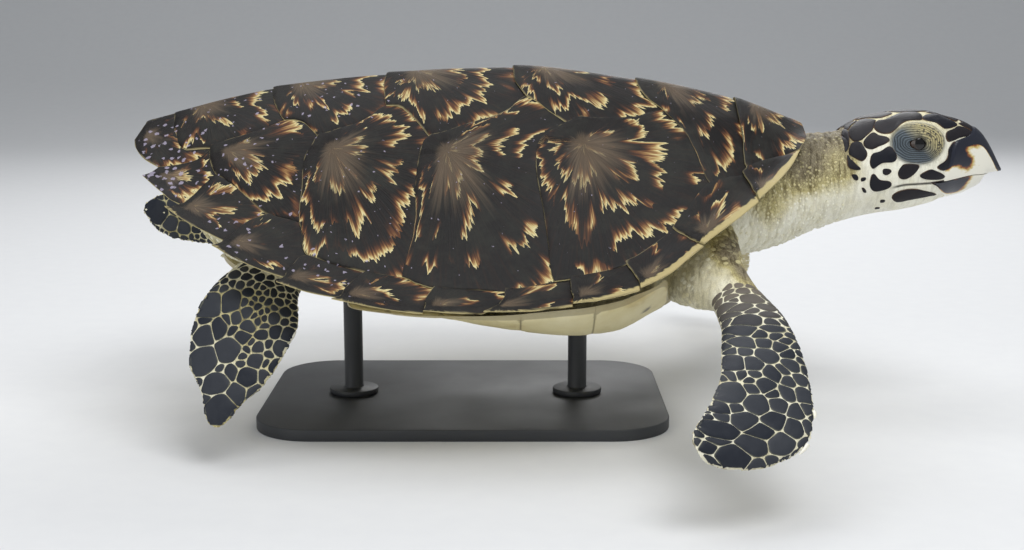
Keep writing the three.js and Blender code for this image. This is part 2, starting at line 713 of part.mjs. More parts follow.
addMesh(turtle, "trunk", toGeometry(largest(rest)), COLOUR.skin, 0.7);
addMesh(turtle, "neck", toGeometry(largest(neck)), COLOUR.skin, 0.7);
addMesh(turtle, "head", toGeometry(largest(head)), COLOUR.headSkin, 0.6);
addMesh(turtle, "beak_upper", toGeometry(largest(beakUpper)), COLOUR.horn, 0.35);
addMesh(turtle, "beak_lower", toGeometry(largest(beakLower)), COLOUR.horn, 0.35);
for (const [name, body] of Object.entries(limbs)) {
  addMesh(turtle, name, toGeometry(largest(body)), COLOUR.skin, 0.6);
}

for (const [name, side] of [["eye_left", 1], ["eye_right", -1]]) {
  const ball = new THREE.SphereGeometry(EYE_RADIUS, ...EYE_FACETS);
  ball.rotateX(Math.PI / 2);
  const eye = addMesh(turtle, name, ball, COLOUR.eye, 0.08);
  eye.position.set(EYE[0], side * EYE[1], EYE[2]);
}

// Display stand.
const plan = new THREE.Shape();
const hx = BASE_LENGTH / 2 - BASE_CORNER;
const hy = BASE_WIDTH / 2 - BASE_CORNER;
plan.absarc(hx, hy, BASE_CORNER, 0, Math.PI / 2, false);
plan.absarc(-hx, hy, BASE_CORNER, Math.PI / 2, Math.PI, false);
plan.absarc(-hx, -hy, BASE_CORNER, Math.PI, 1.5 * Math.PI, false);
plan.absarc(hx, -hy, BASE_CORNER, 1.5 * Math.PI, 2 * Math.PI, false);
const baseGeometry = new THREE.ExtrudeGeometry(plan, {
  depth: BASE_THICK,
  bevelEnabled: false,
  curveSegments: 6,
});
addMesh(turtle, "stand_base", baseGeometry, COLOUR.steel, 0.5, 0.6);

const footTop = BASE_THICK + GAP + ROD_FOOT_THICK;
const overRods = placed(slab(plastronOutline, () => 300, (x, y) => underZ(x, y) - GAP), rolled);
["stand_rod_front", "stand_rod_rear"].forEach((name, i) => {
  const profile = [
    [0, BASE_THICK + GAP], [ROD_FOOT, BASE_THICK + GAP], [ROD_FOOT, footTop - 1],
    [ROD_FOOT - 1, footTop], [ROD_RADIUS, footTop], [ROD_RADIUS, 128], [ROD_HEAD, 134],
    [ROD_HEAD, 170], [0, 170],
  ].map(([r, z]) => new THREE.Vector2(r, z));
  const turned = new THREE.LatheGeometry(profile, 16);
  turned.rotateX(Math.PI / 2);
  turned.translate(ROD_X[i], 0, 0);
  const rod = solid(turned).subtract(overRods);
  addMesh(turtle, name, toGeometry(rod), COLOUR.steel, 0.4, 0.7);
});

export default turtle;
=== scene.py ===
"""Life-size museum model of a gliding hawksbill turtle.

Horn plates, one wrinkled skin with its scales, a horn beak, glass eyes and a plain
painted stand are dressed over the model's solids. Tables are in millimetres, meshes in
metres. +X runs to the head, +Y to the animal's left and +Z up.
"""

from __future__ import annotations

import logging
import math
import random
from dataclasses import dataclass, field
from enum import Enum
from typing import Callable, Sequence

import bpy
import numpy as np
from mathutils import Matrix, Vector
from mathutils.bvhtree import BVHTree
from mathutils.geometry import delaunay_2d_cdt
from mathutils.kdtree import KDTree


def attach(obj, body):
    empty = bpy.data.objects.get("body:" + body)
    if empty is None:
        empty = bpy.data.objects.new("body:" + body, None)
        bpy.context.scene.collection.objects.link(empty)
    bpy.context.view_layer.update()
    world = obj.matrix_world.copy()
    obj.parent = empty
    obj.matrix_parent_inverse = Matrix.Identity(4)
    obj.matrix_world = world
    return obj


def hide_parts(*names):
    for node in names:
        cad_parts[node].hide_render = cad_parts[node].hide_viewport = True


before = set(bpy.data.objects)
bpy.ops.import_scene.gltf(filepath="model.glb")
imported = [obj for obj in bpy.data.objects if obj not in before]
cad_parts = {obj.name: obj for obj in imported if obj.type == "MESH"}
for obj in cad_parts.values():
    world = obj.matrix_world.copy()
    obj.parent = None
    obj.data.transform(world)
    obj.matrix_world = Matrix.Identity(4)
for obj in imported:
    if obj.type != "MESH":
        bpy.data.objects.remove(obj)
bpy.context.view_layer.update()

MM = 0.001
LOG = logging.getLogger("hawksbill")

Plan = list[tuple[float, float]]
Station = tuple[tuple[float, float, float], tuple[float, float, float], float]


class Part(Enum):
    """Names of the material slots."""

    CARAPACE = "carapace"
    PLASTRON = "plastron"
    SKIN = "skin"
    HORN = "horn"
    EYE = "eye"
    STEEL = "stand_steel"


# ------------------------------------------------------------------ small tools


class Profile:
    """A smooth curve through (position, value) pairs, flat beyond its ends."""

    def __init__(self, pairs: Sequence[Sequence[float]]) -> None:
        """Fits the curve.

        Args:
            pairs: Rising positions with their values.
        """
        self.at = np.array([p[0] for p in pairs], float)
        self.value = np.array([p[1] for p in pairs], float)
        step = np.diff(self.value) / np.diff(self.at)
        before = np.concatenate([step[:1], step])
        after = np.concatenate([step, step[-1:]])
        product = before * after
        total = np.where(np.abs(before + after) < 1e-12, 1.0, before + after)
        self.slope = np.where(product > 0, 2 * product / total, 0.0)

    def __call__(self, where: np.ndarray | float) -> np.ndarray:
        """Gives the curve's value.

        Args:
            where: One position or many.

        Returns:
            The values there.
        """
        where = np.clip(where, self.at[0], self.at[-1])
        i = np.clip(np.searchsorted(self.at, where) - 1, 0, len(self.at) - 2)
        span = self.at[i + 1] - self.at[i]
        t = (where - self.at[i]) / span
        rise = self.value[i + 1] - self.value[i]
        ease = t * t * (3 - 2 * t)
        lead = t * (1 - t) ** 2 * self.slope[i] * span
        trail = t * t * (t - 1) * self.slope[i + 1] * span
        return self.value[i] + rise * ease + lead + trail


def ease(value: np.ndarray, low: float, high: float) -> np.ndarray:
    """Rises smoothly from 0 at low to 1 at high, or falls where low is the larger."""
    t = np.clip((value - low) / (high - low), 0.0, 1.0)
    return t * t * (3 - 2 * t)


def cloud(points: np.ndarray, size: float, seed: int = 0) -> np.ndarray:
    """Smooth random values in space, repeatable.

    Args:
        points: N by 3 places.
        size: Distance over which the value changes.
        seed: Picks another pattern.

    Returns:
        N values from 0 to 1.
    """
    grid = points / size + 1000.0 + 17.3 * seed
    base = np.floor(grid).astype(np.int64)
    t = grid - base
    t = t * t * (3 - 2 * t)
    total = np.zeros(len(points))
    for corner in range(8):
        step = np.array([corner & 1, corner >> 1 & 1, corner >> 2 & 1])
        cell = base + step
        mixed = cell[:, 0] * 374761393 + cell[:, 1] * 668265263 + cell[:, 2] * 2147483647
        mixed = (mixed ^ (mixed >> 13)) * 1274126177
        value = ((mixed ^ (mixed >> 16)) & 0xFFFF) / 65535.0
        weight = np.prod(np.where(step == 1, t, 1 - t), axis=1)
        total += value * weight
    return total


def clear_selection() -> None:
    """Leaves nothing selected, so that an operator acts only on what follows."""
    if bpy.context.object and bpy.context.object.mode != "OBJECT":
        bpy.ops.object.mode_set(mode="OBJECT")
    bpy.ops.object.select_all(action="DESELECT")


def choose(piece: bpy.types.Object) -> None:
    """Makes one object the only selected and the active one.

    Args:
        piece: The object.
    """
    clear_selection()
    piece.select_set(True)
    bpy.context.view_layer.objects.active = piece


def apply_modifier(piece: bpy.types.Object, kind: str, **settings: object) -> None:
    """Adds a modifier with its settings and applies it.

    Args:
        piece: The object.
        kind: The modifier's type.
        **settings: The modifier's properties.
    """
    choose(piece)
    modifier = piece.modifiers.new(kind.lower(), kind)
    for name, value in settings.items():
        setattr(modifier, name, value)
    bpy.ops.object.modifier_apply(modifier=modifier.name)


def join(pieces: list[bpy.types.Object], name: str) -> bpy.types.Object:
    """Joins objects into one.

    Args:
        pieces: The objects; the first one stays.
        name: The joined object's name.

    Returns:
        The joined object.
    """
    choose(pieces[0])
    for piece in pieces:
        piece.select_set(True)
    bpy.ops.object.join()
    pieces[0].name = name
    pieces[0].data.name = name
    return pieces[0]


def new_object(name: str, points: np.ndarray, faces: Sequence[Sequence[int]]) -> bpy.types.Object:
    """Makes an object from points and faces.

    Args:
        name: The object's name.
        points: N by 3 places in metres.
        faces: The point numbers of each face.

    Returns:
        The object.
    """
    mesh = bpy.data.meshes.new(name)
    mesh.from_pydata([tuple(p) for p in points], [], [tuple(f) for f in faces])
    mesh.update()
    piece = bpy.data.objects.new(name, mesh)
    bpy.context.scene.collection.objects.link(piece)
    return piece


def place_of(piece: bpy.types.Object) -> np.ndarray:
    """Reads the mesh's points.

    Args:
        piece: The object.

    Returns:
        N by 3 places in metres.
    """
    flat = np.empty(len(piece.data.vertices) * 3, np.float32)
    piece.data.vertices.foreach_get("co", flat)
    return flat.reshape(-1, 3).astype(float)


def set_place(piece: bpy.types.Object, points: np.ndarray) -> None:
    """Moves the mesh's points to new places in metres."""
    piece.data.vertices.foreach_set("co", points.astype(np.float32).ravel())
    piece.data.update()


def mark(piece: bpy.types.Object, name: str, values: np.ndarray) -> None:
    """Stores one number per point, which the finishes read by name."""
    layer = piece.data.attributes.new(name, "FLOAT", "POINT")
    layer.data.foreach_set("value", np.asarray(values, np.float32))


def dress(piece: bpy.types.Object, material: bpy.types.Material, part: Part,
          angle: float = 40.0) -> None:
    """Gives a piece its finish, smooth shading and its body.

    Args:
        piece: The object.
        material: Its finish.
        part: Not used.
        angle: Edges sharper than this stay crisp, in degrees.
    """
    piece.data.materials.clear()
    piece.data.materials.append(material)
    choose(piece)
    bpy.ops.object.shade_smooth_by_angle(angle=math.radians(angle))
    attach(piece, "root")


def triangles_of(piece: bpy.types.Object) -> int:
    """Counts a piece's triangles."""
    return sum(len(p.vertices) - 2 for p in piece.data.polygons)


def report(piece: bpy.types.Object) -> None:
    """Logs a finished piece and its size."""
    LOG.info("%s: %d triangles", piece.name, triangles_of(piece))


def outwards(piece: bpy.types.Object, merge: float = 0.0) -> None:
    """Turns the faces of a closed piece outwards.

    Args:
        piece: The object.
        merge: Points closer than this become one first, in metres.
    """
    choose(piece)
    bpy.ops.object.mode_set(mode="EDIT")
    bpy.ops.mesh.select_all(action="SELECT")
    if merge:
        bpy.ops.mesh.remove_doubles(threshold=merge)
    bpy.ops.mesh.normals_make_consistent(inside=False)
    bpy.ops.object.mode_set(mode="OBJECT")


def edit_only(piece: bpy.types.Object, chosen: np.ndarray) -> None:
    """Opens a piece for editing with nothing but the chosen points selected.

    Args:
        piece: The object.
        chosen: True for each point that is wanted.
    """
    choose(piece)
    bpy.ops.object.mode_set(mode="EDIT")
    bpy.ops.mesh.select_mode(type="VERT")
    bpy.ops.mesh.select_all(action="DESELECT")
    bpy.ops.object.mode_set(mode="OBJECT")
    piece.data.vertices.foreach_set("select", chosen)
    bpy.ops.object.mode_set(mode="EDIT")
    bpy.ops.mesh.select_mode(type="VERT")


def carve(piece: bpy.types.Object, cutter: bpy.types.Object, way: str = "DIFFERENCE") -> None:
    """Cuts a piece with another closed one and removes the cutter.

    Args:
        piece: What is cut.
        cutter: The shape that cuts.
        way: DIFFERENCE takes the cutter's shape away, INTERSECT keeps it alone.
    """
    apply_modifier(piece, "BOOLEAN", operation=way, solver="EXACT", object=cutter)
    bpy.data.objects.remove(cutter, do_unlink=True)


def tube(name: str, rings: np.ndarray) -> bpy.types.Object:
    """Rolls a grid up into a closed tube whose ends are drawn together.

    Args:
        name: The object's name.
        rings: R by N by 3 points in millimetres, one row per ring.

    Returns:
        The closed tube.
    """
    count, around = rings.shape[:2]
    ends = rings.mean(axis=1, keepdims=True)
    full = np.concatenate([np.repeat(ends[:1], around, 1), rings,
                           np.repeat(ends[-1:], around, 1)])
    full = np.concatenate([full, full[:, :1]], axis=1)
    clear_selection()
    bpy.ops.mesh.primitive_grid_add(x_subdivisions=around, y_subdivisions=count + 1, size=1.0)
    piece = bpy.context.object
    piece.name = name
    at = place_of(piece)
    column = np.rint((at[:, 0] + 0.5) * around).astype(int)
    row = np.rint((at[:, 1] + 0.5) * (count + 1)).astype(int)
    set_place(piece, full[row, column] * MM)
    outwards(piece, 1e-6)
    return piece


def round_line(points: Plan, spacing: float = 4.0) -> Plan:
    """Draws a smooth line through plan points, keeping its two ends.

    Args:
        points: The points in order.
        spacing: Largest distance between the points of the result.

    Returns:
        The denser line.
    """
    given = [np.array(p, float) for p in points]
    line = [given[0] * 2 - given[1], *given, given[-1] * 2 - given[-2]]
    result: Plan = []
    for a, b, c, d in zip(line, line[1:], line[2:], line[3:]):
        steps = max(int(np.linalg.norm(c - b) / spacing), 1)
        for k in range(steps):
            t = k / steps
            at = 0.5 * (2 * b + (c - a) * t + (2 * a - 5 * b + 4 * c - d) * t * t
                        + (3 * b - a - 3 * c + d) * t ** 3)
            result.append((float(at[0]), float(at[1])))
    result.append((float(given[-1][0]), float(given[-1][1])))
    return result


def dense(points: Plan, spacing: float = 4.0) -> Plan:
    """Adds points along the straight sides of a closed outline.

    Args:
        points: The outline.
        spacing: Largest distance between the points of the result.

    Returns:
        The denser outline.
    """
    result: Plan = []
    for a, b in zip(points, points[1:] + points[:1]):
        steps = max(int(math.dist(a, b) / spacing), 1)
        for k in range(steps):
            result.append((a[0] + (b[0] - a[0]) * k / steps, a[1] + (b[1] - a[1]) * k / steps))
    return result


def flipped(points: Plan) -> Plan:
    """Mirrors a plan outline to the other flank and keeps its turning sense."""
    return [(x, -y) for x, y in reversed(points)]


def both_halves(half: Plan) -> Plan:
    """Closes a half outline that starts and ends on the midline."""
    return half + flipped([p for p in half if p[1] > 0.01])


def loop_of(*lines: Plan) -> Plan:
    """Chains lines into one closed outline without doubled points.

    Args:
        *lines: The lines in order.

    Returns:
        The outline.
    """
    result: Plan = []
    for point in [p for line in lines for p in line]:
        if not result or math.dist(result[-1], point) > 0.05:
            result.append(point)
    if math.dist(result[0], result[-1]) < 0.05:
        result.pop()
    return result


def edge_distance(points: np.ndarray, loop: np.ndarray) -> np.ndarray:
    """Distance of each plan point from a closed outline.

    Args:
        points: N by 2 plan points.
        loop: The outline's points.

    Returns:
        N distances.
    """
    a = loop
    e = np.roll(loop, -1, axis=0) - loop
    length = np.maximum((e ** 2).sum(1), 1e-9)
    d = points[:, None, :] - a[None]
    t = np.clip((d * e[None]).sum(2) / length[None], 0, 1)
    return np.sqrt(((d - t[..., None] * e[None]) ** 2).sum(2).min(1))


def inside(points: np.ndarray, loop: np.ndarray) -> np.ndarray:
    """Tells which plan points lie inside a closed outline.

    Args:
        points: N by 2 plan points.
        loop: The outline's points.

    Returns:
        True for each point that does.
    """
    a, b = loop, np.roll(loop, -1, axis=0)
    x, y = points[:, :1], points[:, 1:]
    crosses = (a[:, 1] > y) != (b[:, 1] > y)
    rise = np.where(np.abs(b[:, 1] - a[:, 1]) < 1e-12, 1e-12, b[:, 1] - a[:, 1])
    at = a[:, 0] + (y - a[:, 1]) * (b[:, 0] - a[:, 0]) / rise
    return (crosses & (x < at)).sum(1) % 2 == 1


def turned_left(outline: Plan, spacing: float) -> np.ndarray:
    """Makes an outline's points dense and runs them anticlockwise.

    Args:
        outline: The closed outline.
        spacing: Largest distance between its points.

    Returns:
        N by 2 points.
    """
    loop = np.array(dense(outline, spacing))
    x, y = loop.T
    area = 0.5 * np.sum(x * np.roll(y, -1) - np.roll(x, -1) * y)
    return loop[::-1] if area < 0 else loop


def outward(loop: np.ndarray) -> np.ndarray:
    """Finds the directions that point out of an anticlockwise outline.

    Args:
        loop: N by 2 points.

    Returns:
        N unit directions.
    """
    tangent = np.roll(loop, -1, axis=0) - np.roll(loop, 1, axis=0)
    tangent /= np.maximum(np.linalg.norm(tangent, axis=1, keepdims=True), 1e-9)
    return np.stack([tangent[:, 1], -tangent[:, 0]], axis=1)


def inner_grid(loop: np.ndarray, corner: Sequence[float], far: Sequence[float], step: float,
               clear: float) -> np.ndarray:
    """Fills an outline with a square grid of points.

    Args:
        loop: The outline's points.
        corner: Where the grid starts.
        far: Where it ends.
        step: The grid's spacing.
        clear: How far its points stay from the outline.

    Returns:
        N by 2 points.
    """
    gx, gy = np.meshgrid(np.arange(corner[0], far[0], step), np.arange(corner[1], far[1], step))
    grid = np.column_stack([gx.ravel(), gy.ravel()])
    grid = grid[inside(grid, loop)]
    return grid[edge_distance(grid, loop) > clear]


def triangulated(loop: np.ndarray, inner: np.ndarray) -> tuple[np.ndarray, list[tuple]]:
    """Fills a closed outline with triangles.

    Args:
        loop: The outline's points.
        inner: Points inside it that the triangles pass through.

    Returns:
        The plan points and the triangles.
    """
    edges = [(i, (i + 1) % len(loop)) for i in range(len(loop))]
    plan = [Vector(p) for p in np.vstack([loop, inner])]
    points, _, faces = delaunay_2d_cdt(plan, edges, [], 1, 1e-4)[:3]
    return np.array([tuple(v) for v in points]), [tuple(f) for f in faces]


# ------------------------------------------------------------------ finishes


def colour(code: str) -> tuple[float, float, float, float]:
    """Turns an sRGB hex colour into linear values.

    Args:
        code: The colour, such as #808080.

    Returns:
        Red, green, blue and an alpha of 1.
    """
    parts = [int(code[i:i + 2], 16) / 255 for i in (1, 3, 5)]
    linear = [c / 12.92 if c <= 0.04045 else ((c + 0.055) / 1.055) ** 2.4 for c in parts]
    return (*linear, 1.0)


class Shader:
    """A node material in the making; each method adds one node and wires its inputs."""

    def __init__(self, name: str) -> None:
        """Starts a node material with nothing in it but its output.

        Args:
            name: The material's name.
        """
        self.material = bpy.data.materials.new(name)
        self.material.use_nodes = True
        self.tree = self.material.node_tree
        self.tree.nodes.clear()
        self.output = self.add("ShaderNodeOutputMaterial")

    def add(self, kind: str, settings: dict | None = None, inputs: dict | None = None
            ) -> bpy.types.Node:
        """Adds one node with its settings and its inputs.

        Args:
            kind: The node's type.
            settings: The node's properties.
            inputs: Input name or number to a number, a hex colour, a node or its output.

        Returns:
            The node.
        """
        node = self.tree.nodes.new(kind)
        for name, value in (settings or {}).items():
            setattr(node, name, value)
        for key, value in (inputs or {}).items():
            if isinstance(value, bpy.types.Node):
                value = value.outputs[0]
            if isinstance(value, bpy.types.NodeSocket):
                self.tree.links.new(value, node.inputs[key])
            else:
                node.inputs[key].default_value = (
                    colour(value) if isinstance(value, str) else value)
        return node

    def here(self) -> bpy.types.NodeSocket:
        """Gives the place on the piece, in metres."""
        return self.add("ShaderNodeTexCoord").outputs["Object"]

    def read(self, name: str) -> bpy.types.NodeSocket:
        """Reads a number that is stored on the piece's points."""
        return self.add("ShaderNodeAttribute", {"attribute_name": name}).outputs["Fac"]

    def maths(self, kind: str, *terms: object) -> bpy.types.Node:
        """Works out one sum of two or three terms."""
        return self.add("ShaderNodeMath", {"operation": kind}, dict(enumerate(terms)))

    def remap(self, value: object, low: float, high: float, first: float, last: float,
              smooth: bool = False) -> bpy.types.Node:
        """Turns the range from low to high into the range from first to last.

        Args:
            value: What is mapped.
            low: Where the range starts.
            high: Where it ends.
            first: The result at its start.
            last: The result at its end.
            smooth: Whether it starts and ends softly.

        Returns:
            The node.
        """
        way = {"interpolation_type": "SMOOTHSTEP"} if smooth else None
        return self.add("ShaderNodeMapRange", way,
                        {0: value, 1: low, 2: high, 3: first, 4: last})

    def mix(self, share: object, base: object, over: object, kind: str = "MIX"
            ) -> bpy.types.NodeSocket:
        """Lays one colour over another.

        Args:
            share: How much of the upper colour shows.
            base: The lower colour.
            over: The upper colour.
            kind: The way of blending.

        Returns:
            The mixed colour.
        """
        return self.add("ShaderNodeMix", {"data_type": "RGBA", "blend_type": kind},
                        {0: share, 6: base, 7: over}).outputs[2]

    def noise(self, place: object, scale: float, detail: float, roughness: float = 0.5
              ) -> bpy.types.Node:
        """Adds cloudy noise.

        Args:
            place: Where it is read.
            scale: Clouds per metre.
            detail: How many finer layers it has.
            roughness: How strong these are.

        Returns:
            The node.
        """
        return self.add("ShaderNodeTexNoise", None, {
            "Vector": place, "Scale": scale, "Detail": detail, "Roughness": roughness})

    def ramp(self, level: object, *stops: tuple[float, str]) -> bpy.types.Node:
        """Turns a level into colours.

        Args:
            level: What picks the colour.
            *stops: Positions with their hex colours.

        Returns:
            The node.
        """
        node = self.add("ShaderNodeValToRGB", None, {0: level})
        elements = node.color_ramp.elements
        while len(elements) < len(stops):
            elements.new(0.5)
        for element, (position, code) in zip(elements, stops):
            element.position = position
            element.color = colour(code)
        return node

    def bump(self, strength: float, depth: float, height: object) -> bpy.types.Node:
        """Turns a height into relief.

        Args:
            strength: From 0 to 1, how much of it shows.
            depth: The relief's depth in metres.
            height: What rises.

        Returns:
            The node.
        """
        return self.add("ShaderNodeBump", None,
                        {"Strength": strength, "Distance": depth, "Height": height})

    def finish(self, inputs: dict) -> bpy.types.Material:
        """Ends the material in one surface shader with the given inputs.

        Args:
            inputs: The surface's settings and links.

        Returns:
            The material.
        """
        shader = self.add("ShaderNodeBsdfPrincipled", None, inputs)
        self.tree.links.new(shader.outputs[0], self.output.inputs[0])
        return self.material


@dataclass(frozen=True)
class TortoiseshellHorn:
    """Keratin scutes, wet and worn: near-black brown with saw-toothed amber flames.

    The flames follow each plate's growth, so the plates carry how far a point lies
    from the growth centre (grow), its place round it in millimetres (fan), a number
    for the plate, the distance to the edge, and which face is the underside.
    """

    dark: str = "#0e0c0c"
    brown: str = "#26160e"
    russet: str = "#58331c"
    amber: str = "#8f6b40"
    pale: str = "#bfab75"
    cream: str = "#d2c797"
    worn: str = "#332a23"
    worn_light: str = "#7c6a55"
    film: str = "#4a4c45"
    lip: str = "#b3a473"
    seam: str = "#8f8462"
    lichen: str = "#a79fb4"
    belly: str = "#cdbf8c"
    roughness: float = 0.48

    def make(self) -> bpy.types.Material:
        """Builds the finish.

        Returns:
            The material.
        """
        nodes = Shader("tortoiseshell_horn")
        grow = nodes.read("grow")
        fan = nodes.read("fan")
        plate = nodes.read("plate")
        edge = nodes.read("edge")
        under = nodes.read("under")
        here = nodes.here()

        def stretched(length: float, scale: float, detail: float) -> bpy.types.Node:
            """Makes noise in the plate's own fan, drawn out along its growth.

            Args:
                length: How much the growth stretches it, in millimetres.
                scale: Its grain, per millimetre.
                detail: Its number of finer layers.

            Returns:
                The noise.
            """
            out = nodes.maths("MULTIPLY", grow, length)
            shift = nodes.maths("MULTIPLY", plate, 31.7)
            at = nodes.add("ShaderNodeCombineXYZ", None, {0: fan, 1: out, 2: shift})
            return nodes.noise(at, scale, detail, 0.55)

        # Waves of about 45 mm move each band in and out, teeth of about 9 mm and
        # hairs of about 2.5 mm break its outer edge.
        wave = stretched(45.0, 0.022, 1.0)
        teeth = stretched(14.0, 0.11, 1.5)
        hairs = stretched(9.0, 0.42, 2.0)
        mask = stretched(60.0, 0.030, 1.0)
        phase = nodes.read("rings")
        for source, share in ((wave, 2.0), (teeth, 1.15), (hairs, 0.62)):
            phase = nodes.maths("MULTIPLY_ADD", source, share, phase)
        turn = nodes.maths("FRACT", phase)
        broken = nodes.remap(mask, 0.40, 0.52, 0.42, 1.0)
        flame = nodes.maths("MULTIPLY", turn, broken)
        # Where a plate has little room behind its centre its horn stays dark.
        room = nodes.read("room")
        calm = nodes.maths("MULTIPLY", flame, room)
        bands = nodes.ramp(calm, (0.0, self.dark), (0.46, self.dark), (0.60, self.brown),
                           (0.73, self.russet), (0.83, self.amber), (0.91, self.pale),
                           (0.98, self.cream), (1.0, self.dark))
        streak = nodes.remap(hairs, 0.48, 0.8, 0.0, 0.6)
        body = nodes.mix(streak, bands, self.brown, "LIGHTEN")
        # The oldest horn, round the growth centre, is rubbed to a dull grey brown.
        old = nodes.maths("MULTIPLY_ADD", teeth, 0.42, grow)
        rubbed = nodes.remap(old, 0.34, 0.68, 0.78, 0.0, smooth=True)
        worn = nodes.mix(hairs, self.worn, self.worn_light)
        with_worn = nodes.mix(rubbed, body, worn)
        # A dull film lies unevenly over the whole shell.
        film = nodes.noise(here, 28.0, 5.0, 0.7)
        dull = nodes.remap(film, 0.46, 0.8, 0.0, 0.34)
        filmed = nodes.mix(dull, with_worn, self.film)
        # Thin free edges let light through and look pale.
        rim = nodes.remap(edge, 0.1, 1.1, 0.7, 0.0, smooth=True)
        patchy = nodes.remap(mask, 0.46, 0.62, 0.0, 1.0)
        thin = nodes.maths("MULTIPLY", rim, patchy)
        # The front rim plates turn pale where they curl under.
        lip = nodes.read("lip")
        curl = nodes.maths("MULTIPLY_ADD", teeth, 0.9, lip)
        lip_share = nodes.remap(curl, 0.78, 1.12, 0.0, 0.92, smooth=True)
        lipped = nodes.mix(lip_share, filmed, self.lip)
        rimmed = nodes.mix(thin, lipped, self.seam)
        # Crusts of lilac growth, a few millimetres wide, mostly on the rear.
        split = nodes.add("ShaderNodeSeparateXYZ", None, {0: here})
        rear = nodes.remap(split.outputs[0], 0.0, -0.34, 0.12, 0.62)
        rough = nodes.noise(here, 260.0, 2.0)
        torn = nodes.add("ShaderNodeVectorMath", {"operation": "MULTIPLY_ADD"},
                         {0: rough.outputs["Color"], 1: (0.006, 0.006, 0.006), 2: here})
        crust = nodes.add("ShaderNodeTexVoronoi", {"feature": "F1"},
                          {"Vector": torn, "Scale": 130.0, "Randomness": 1.0})
        where = nodes.noise(here, 17.0, 2.0)
        amount = nodes.maths("MULTIPLY", rear, where)
        spot = nodes.maths("LESS_THAN", crust.outputs["Distance"], amount)
        keep = nodes.add("ShaderNodeSeparateColor", None, {0: crust.outputs["Color"]})
        some = nodes.maths("GREATER_THAN", keep, 0.45)
        both = nodes.maths("MULTIPLY", spot, some)
        soft = nodes.maths("MULTIPLY", both, 0.62)
        crusted = nodes.mix(soft, rimmed, self.lichen)
        # The underside is plain pale horn with a few dark clouds.
        clouds = nodes.noise(here, 22.0, 3.0)
        below = nodes.ramp(clouds, (0.0, self.belly), (0.60, self.belly), (0.70, self.brown))
        final = nodes.mix(under, crusted, below)
        shine = nodes.remap(film, 0.3, 0.8, self.roughness - 0.08, self.roughness + 0.18)
        grooves = nodes.maths("MULTIPLY_ADD", hairs, 0.6, film)
        bump = nodes.bump(0.45, 0.0012, grooves)
        return nodes.finish({"Base Color": final, "Roughness": shine, "IOR": 1.54,
                            "Specular IOR Level": 0.16, "Normal": bump})


@dataclass(frozen=True)
class PlastronHorn:
    """Thin polished keratin under the body: pale straw with brown clouds at the seams."""

    light: str = "#e2d9b2"
    pale: str = "#d8cc9c"
    warm: str = "#b9a468"
    cloud: str = "#3f3630"
    seam: str = "#6f6248"
    roughness: float = 0.45

    def make(self) -> bpy.types.Material:
        """Builds the finish.

        Returns:
            The material.
        """
        nodes = Shader("plastron_horn")
        here = nodes.here()
        edge = nodes.read("edge")
        grow = nodes.read("grow")
        soft = nodes.noise(here, 14.0, 6.0, 0.65)
        base = nodes.ramp(soft, (0.30, self.light), (0.52, self.pale), (0.75, self.warm))
        # Brown clouds of 10 to 30 mm sit near the growth centres.
        blot = nodes.noise(here, 26.0, 2.0)
        near = nodes.maths("MULTIPLY_ADD", grow, -0.35, blot)
        mask = nodes.remap(near, 0.50, 0.58, 0.0, 0.8, smooth=True)
        clouded = nodes.mix(mask, base, self.cloud)
        seam = nodes.remap(edge, 0.2, 1.4, 0.55, 0.0, smooth=True)
        lined = nodes.mix(seam, clouded, self.seam)
        fine = nodes.noise(here, 240.0, 3.0)
        bump = nodes.bump(0.25, 0.0008, fine)
        return nodes.finish({"Base Color": lined, "Roughness": self.roughness,
                            "IOR": 1.54, "Normal": bump})


